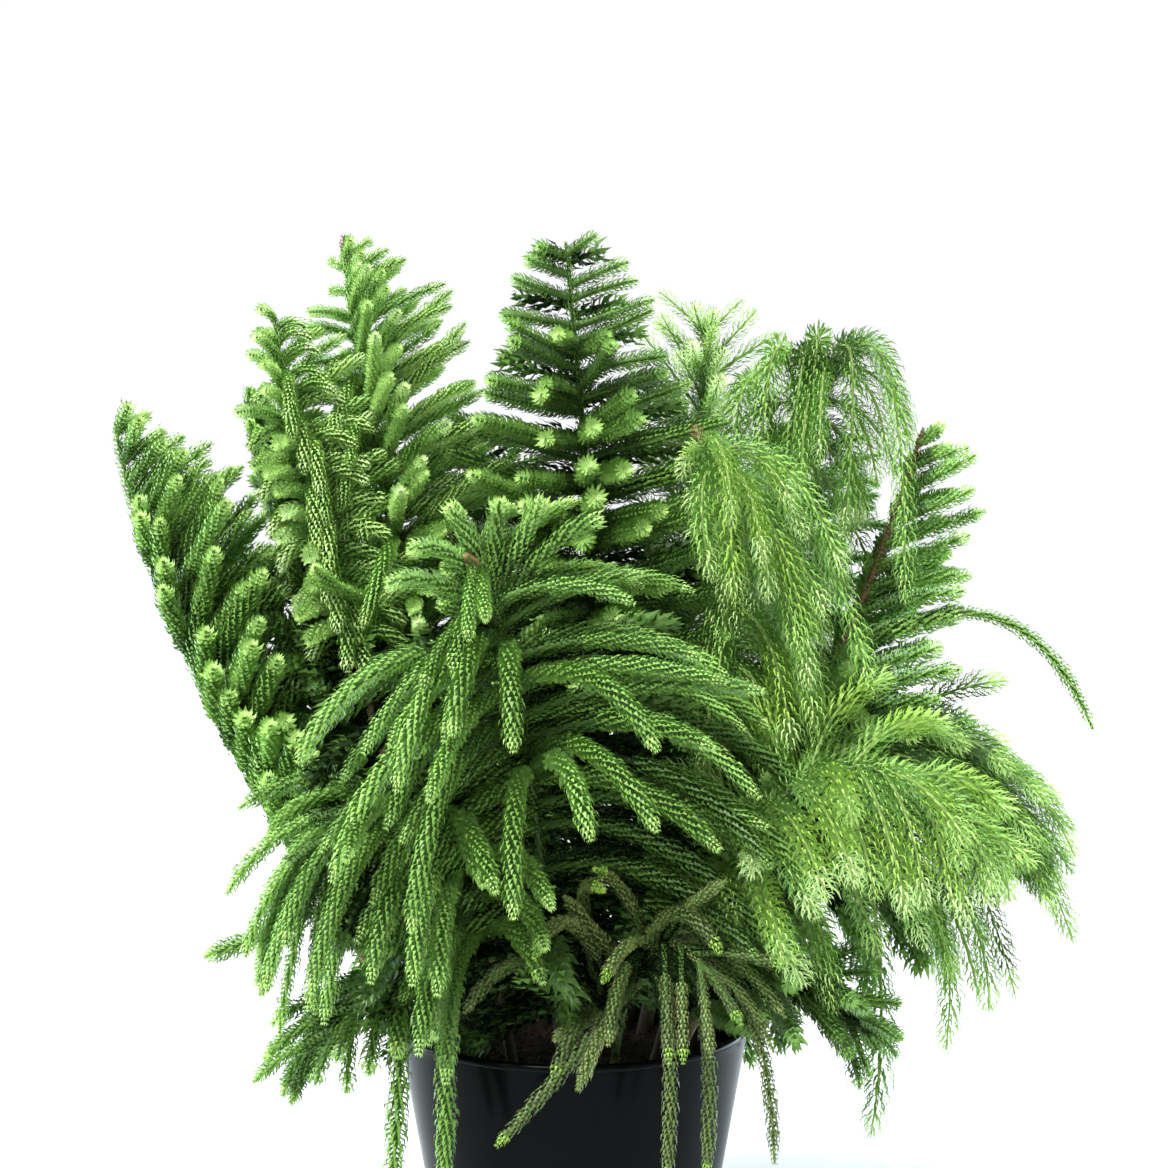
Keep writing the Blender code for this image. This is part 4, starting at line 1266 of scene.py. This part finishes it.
class PINE_OT_needles(bpy.types.Operator):
    """Cover every shoot with rows of needles, joined for each bough, in place of the
    plain masses of foliage"""

    bl_idname = "pine.needles"
    bl_label = "Needles"

    def execute(self, context):
        sizes = context.scene.pine_sizes
        colours = context.scene.pine_colours
        materials = []
        for tone in TONES:
            # The deep tone, painted shade, gets the lower gloss.
            shine = DEEP_SHINE if tone == "deep" else NEEDLE_SHINE
            materials.append(plain_material("needles_" + tone, getattr(colours, tone),
                                            roughness=0.5, shine=shine))
        tree = needle_tree(materials)
        rows = whorl_collections()
        inner = []
        for bough, _, shoots in grown_boughs():
            outer = [shoot for shoot in shoots if not shoot.inner]
            inner += [shoot for shoot in shoots if shoot.inner]
            mesh = needled_mesh(bough.name, bough.kind, outer, bough.girth, tree, rows, sizes)
            finish_piece(add_object(mesh.name, mesh), bough.slot, *foliage_nodes(bough))
        mesh = needled_mesh("inner", "hidden", inner, 1.0, tree, rows, sizes)
        finish_piece(add_object(mesh.name, mesh), "needles_dark")
        return {"FINISHED"}


def turned_mesh(name, outline, steps):
    """A turned solid from its outline of (radius, height), down the outer side first."""
    mesh = bpy.data.meshes.new(name)
    points = [(radius, 0.0, height) for radius, height in outline]
    mesh.from_pydata(points, [(step, step + 1) for step in range(len(points) - 1)], [])
    thing = add_object(name + "_outline", mesh)
    screw = thing.modifiers.new("Turn", "SCREW")
    screw.steps = steps
    screw.render_steps = steps
    screw.use_merge_vertices = True
    screw.merge_threshold = 0.00002
    screw.use_normal_calculate = False
    solid = evaluated_mesh(thing)
    drop(thing)
    solid.name = name
    solid.shade_smooth()
    solid.set_sharp_from_angle(angle=math.radians(SHARP_ANGLE))
    return solid


def arc(middle, radius, start, stop, steps):
    """Points on an arc about (radius, height), with its angles in degrees."""
    points = []
    for step in range(steps + 1):
        angle = math.radians(start + (stop - start) * step / steps)
        points.append((middle[0] + radius * math.cos(angle),
                       middle[1] + radius * math.sin(angle)))
    return points


def pot_outline(foot, wall):
    """The pot's outline, from the top of its rim down its outer side, under its foot and up
    its inner side, for an outer radius of its foot and a wall's thickness."""
    rim = POT_HIGH[0]
    height = POT_HIGH[2]
    slope = (rim - foot) / height
    neck = height - POT_NECK
    bead = (rim - POT_BEAD, height - POT_BEAD)
    step, rise = FOOT_STEP
    outline = arc(bead, POT_BEAD, 90.0, -70.0, 10)
    outline.append((foot + slope * neck + POT_NECK_STEP, neck))
    outline.append((foot + slope * POT_SIDE_START, POT_SIDE_START))
    outline += arc((foot + slope * POT_EDGE - POT_EDGE, POT_EDGE), POT_EDGE, 0.0, -90.0, 5)
    outline += [(foot - FOOT_RING, 0.0), (foot - step, rise), (0.0, rise)]
    outline += [(0.0, wall), (foot - wall * 2.0, wall), (foot - wall, wall * 2.0)]
    outline += [(foot + slope * neck - wall, neck), (bead[0] - wall, bead[1])]
    outline += arc(bead, wall, 180.0, 90.0, 4)[1:-1]
    return outline + [outline[0]]


class PINE_OT_pot(bpy.types.Operator):
    """Make the tapered pot with its rolled rim, in place of the faceted one"""

    bl_idname = "pine.pot"
    bl_label = "Pot"

    def execute(self, context):
        sizes = context.scene.pine_sizes
        colours = context.scene.pine_colours
        outline = pot_outline(sizes.pot_foot_radius, sizes.pot_wall)
        mesh = turned_mesh("pot_shell", outline, sizes.pot_steps)
        piece = add_object("pot_shell", mesh)
        lighter = [value * POT_LIGHTER for value in colours.pot]
        plastic = mottled_material("pot_plastic", colours.pot, lighter, scale=60.0,
                                   roughness=(0.16, 0.24), bump=0.00002, sharpness=1.5)
        shader = plastic.node_tree.nodes["Principled BSDF"]
        shader.inputs["Specular IOR Level"].default_value = POT_SHINE
        mesh.materials.append(plastic)
        finish_piece(piece, "pot_plastic", "pot")
        return {"FINISHED"}


def random_vector(tree, seed, limits):
    """A random vector for each point, between limits where there are any."""
    node = add_node(tree, "FunctionNodeRandomValue", {"Seed": seed}, data_type="FLOAT_VECTOR")
    feed(tree, node, limits)
    return node.outputs["Value"]


def crumb_tree(material):
    """Geometry Nodes: crumbs of random size strewn over the top faces of a mesh."""
    tree, start, end = new_tree(
        "Crumbs", "GeometryNodeTree",
        (("Ground", "NodeSocketGeometry", None), ("Density", "NodeSocketFloat", 20000.0),
         ("Size", "NodeSocketFloat", 0.003), ("Seed", "NodeSocketInt", 0)),
        (("Crumbs", "NodeSocketGeometry"),))
    normal = add_node(tree, "GeometryNodeInputNormal").outputs["Normal"]
    split = add_node(tree, "ShaderNodeSeparateXYZ", {0: normal})
    upward = math_node(tree, "GREATER_THAN", split.outputs["Z"], UPWARD)
    strewn = add_node(tree, "GeometryNodeDistributePointsOnFaces", {
        "Mesh": start["Ground"], "Selection": upward, "Density": start["Density"],
        "Seed": start["Seed"]})
    ball = add_node(tree, "GeometryNodeMeshIcoSphere", {"Radius": 1.0, "Subdivisions": 1})
    spin = random_vector(tree, start["Seed"], {"Max": FULL_TURN})
    shape = random_vector(tree, start["Seed"], dict(zip(("Min", "Max"), CRUMB_SHAPES)))
    scale = add_node(tree, "ShaderNodeVectorMath", operation="SCALE")
    feed(tree, scale, {0: shape, "Scale": start["Size"]})
    place = add_node(tree, "GeometryNodeInstanceOnPoints", {
        "Points": strewn.outputs["Points"], "Instance": ball.outputs["Mesh"],
        "Rotation": spin, "Scale": scale.outputs["Vector"]})
    real = add_node(tree, "GeometryNodeRealizeInstances", {
        "Geometry": place.outputs["Instances"]})
    paint = add_node(tree, "GeometryNodeSetMaterial", {
        "Geometry": real.outputs["Geometry"], "Material": material})
    feed(tree, end, {"Crumbs": paint.outputs["Geometry"]})
    return tree


def fill_mesh(foot, seed):
    """The fill, which sinks towards the pot's wall and has small lumps on its top."""
    chance = random.Random(seed)
    top = FILL_HIGH[2]
    outline = [(0.0, top)]
    for ring in range(1, FILL_RINGS + 1):
        share = ring / FILL_RINGS
        outline.append((FILL_HIGH[0] * share, top - FILL_SINK * share * share))
    outline += [(foot, FILL_LOW[2]), (0.0, FILL_LOW[2])]
    mesh = turned_mesh("fill_mix", outline, FILL_STEPS)
    for vert in mesh.vertices:
        if vert.co.z > top - FILL_TOP:
            vert.co.z += chance.uniform(*FILL_LUMPS)
    return mesh


def crumbs_on(mesh, material, sizes):
    """The crumbs that lie on a mesh."""
    ground = add_object("crumb_ground", mesh.copy())
    modifier = ground.modifiers.new("Crumbs", "NODES")
    modifier.node_group = crumb_tree(material)
    set_inputs(modifier, {"Density": sizes.crumbs, "Size": CRUMB_SIZE, "Seed": sizes.seed})
    crumbs = evaluated_mesh(ground)
    drop(ground)
    return crumbs


class PINE_OT_fill(bpy.types.Operator):
    """Make the dark fill in the pot and the crumbs on it, in place of the plain plug"""

    bl_idname = "pine.fill"
    bl_label = "Fill"

    def execute(self, context):
        sizes = context.scene.pine_sizes
        colours = context.scene.pine_colours
        foot = sizes.pot_foot_radius - sizes.pot_wall * FILL_INSET
        mesh = fill_mesh(foot, sizes.seed)
        piece = add_object("fill_mix", mesh)
        mesh.materials.append(mottled_material(
            "fill_mix", colours.fill, colours.crumb, scale=420.0, roughness=(0.85, 1.0),
            bump=0.0015))
        crumb = mottled_material("crumb", colours.fill, colours.crumb, scale=90.0,
                                 roughness=(0.8, 1.0), bump=0.001)
        crumbs = crumbs_on(mesh, crumb, sizes)
        finish_piece(piece, "fill_mix", "fill")
        finish_piece(add_object("fill_crumbs", crumbs), "fill_mix")
        return {"FINISHED"}


def surround_world(light):
    """A studio's soft light: bright behind, above and at the sides, dim at the front, and
    plain white where the camera sees it."""
    world = bpy.data.worlds.new("surround")
    world.use_nodes = True
    tree = world.node_tree
    place = add_node(tree, "ShaderNodeTexCoord").outputs["Generated"]
    split = add_node(tree, "ShaderNodeSeparateXYZ", {0: place})
    depth = add_node(tree, "ShaderNodeMapRange", {
        "Value": split.outputs["Y"], "From Min": -1.0, "From Max": 0.1,
        "To Min": light.front, "To Max": light.surround}, interpolation_type="SMOOTHSTEP")
    seen = add_node(tree, "ShaderNodeLightPath").outputs["Is Camera Ray"]
    pick = add_node(tree, "ShaderNodeMix", {
        "Factor": seen, "A": depth.outputs["Result"], "B": SEEN_WHITE})
    feed(tree, tree.nodes["Background"], {
        "Color": rgba(SKY_COLOUR), "Strength": pick.outputs["Result"]})
    return world


def add_light(name, kind, power, towards):
    """A light in the scene that shines along a direction."""
    data = bpy.data.lights.new(name, kind)
    data.energy = power
    light = bpy.data.objects.new(name, data)
    light.rotation_euler = towards.to_track_quat("-Z", "Y").to_euler()
    bpy.context.scene.collection.objects.link(light)
    return light


def side_light(name, way, power):
    """A low, soft light at one side, which draws a pale band down the side of the pot."""
    reach, depth, height = SIDE_LIGHT_PLACE
    place = Vector((reach * way, depth, height))
    light = add_light(name, "AREA", power, -place)
    light.data.shape = "RECTANGLE"
    light.data.size, light.data.size_y = SIDE_LIGHT_SIZE
    light.data.color = SIDE_LIGHT_COLOUR
    light.location = place
    light.visible_camera = False


def add_camera():
    """The camera, level with the crown and square to its front."""
    lens = bpy.data.cameras.new("camera")
    lens.lens = CAMERA_LENS
    lens.sensor_width = CAMERA_SENSOR
    lens.sensor_fit = "HORIZONTAL"
    camera = bpy.data.objects.new("camera", lens)
    camera.location = CAMERA_PLACE
    camera.rotation_euler = (math.radians(90.0), 0.0, 0.0)
    bpy.context.scene.collection.objects.link(camera)
    bpy.context.scene.camera = camera


class PINE_OT_stage(bpy.types.Operator):
    """Make the pale floor, the studio light and the camera"""

    bl_idname = "pine.stage"
    bl_label = "Stage"

    def execute(self, context):
        scene = context.scene
        colours = scene.pine_colours
        light = scene.pine_light
        bm = bmesh.new()
        bmesh.ops.create_grid(bm, x_segments=8, y_segments=8, size=FLOOR_REACH)
        mesh = bpy.data.meshes.new("floor")
        bm.to_mesh(mesh)
        bm.free()
        floor = add_object("floor", mesh)
        darker = [value * FLOOR_SHADE for value in colours.floor]
        mesh.materials.append(mottled_material("floor", colours.floor, darker, scale=3.0,
                                               roughness=(0.7, 0.8), bump=0.0001))

        scene.world = surround_world(light)
        overhead = add_light("overhead", "SUN", light.sun, -Vector(SUN_FROM))
        overhead.data.angle = light.sun_angle
        side_light("side_left", -1.0, light.sides)
        side_light("side_right", 1.0, light.sides)
        add_camera()
        scene.view_settings.view_transform = "Standard"
        return {"FINISHED"}


class PINE_PT_boughs(bpy.types.Panel):
    """Sizes, colours and pieces of the boughs"""

    bl_label = "Pine boughs"
    bl_idname = "PINE_PT_boughs"
    bl_space_type = "VIEW_3D"
    bl_region_type = "UI"
    bl_category = "Boughs"

    def draw(self, context):
        for group in (context.scene.pine_sizes, context.scene.pine_colours,
                      context.scene.pine_light):
            box = self.layout.box()
            for name in group.bl_rna.properties.keys():
                if name not in ("rna_type", "name"):
                    box.prop(group, name)
        for operator in OPERATORS:
            self.layout.operator(operator.bl_idname)


OPERATORS = (PINE_OT_stage, PINE_OT_limbs, PINE_OT_twigs, PINE_OT_needles, PINE_OT_pot,
             PINE_OT_fill)
CLASSES = (PineSizes, PineColours, PineLight, *OPERATORS, PINE_PT_boughs)


def register():
    """Register the classes and hang the settings on the scene."""
    for item in CLASSES:
        bpy.utils.register_class(item)
    bpy.types.Scene.pine_sizes = PointerProperty(type=PineSizes)
    bpy.types.Scene.pine_colours = PointerProperty(type=PineColours)
    bpy.types.Scene.pine_light = PointerProperty(type=PineLight)


def unregister():
    """Take the settings and the classes away again."""
    del bpy.types.Scene.pine_light
    del bpy.types.Scene.pine_colours
    del bpy.types.Scene.pine_sizes
    for item in reversed(CLASSES):
        bpy.utils.unregister_class(item)


def main():
    """Make every piece."""
    register()
    bpy.ops.pine.stage()
    bpy.ops.pine.limbs()
    bpy.ops.pine.twigs()
    bpy.ops.pine.needles()
    bpy.ops.pine.pot()
    bpy.ops.pine.fill()


if __name__ == "__main__":
    main()
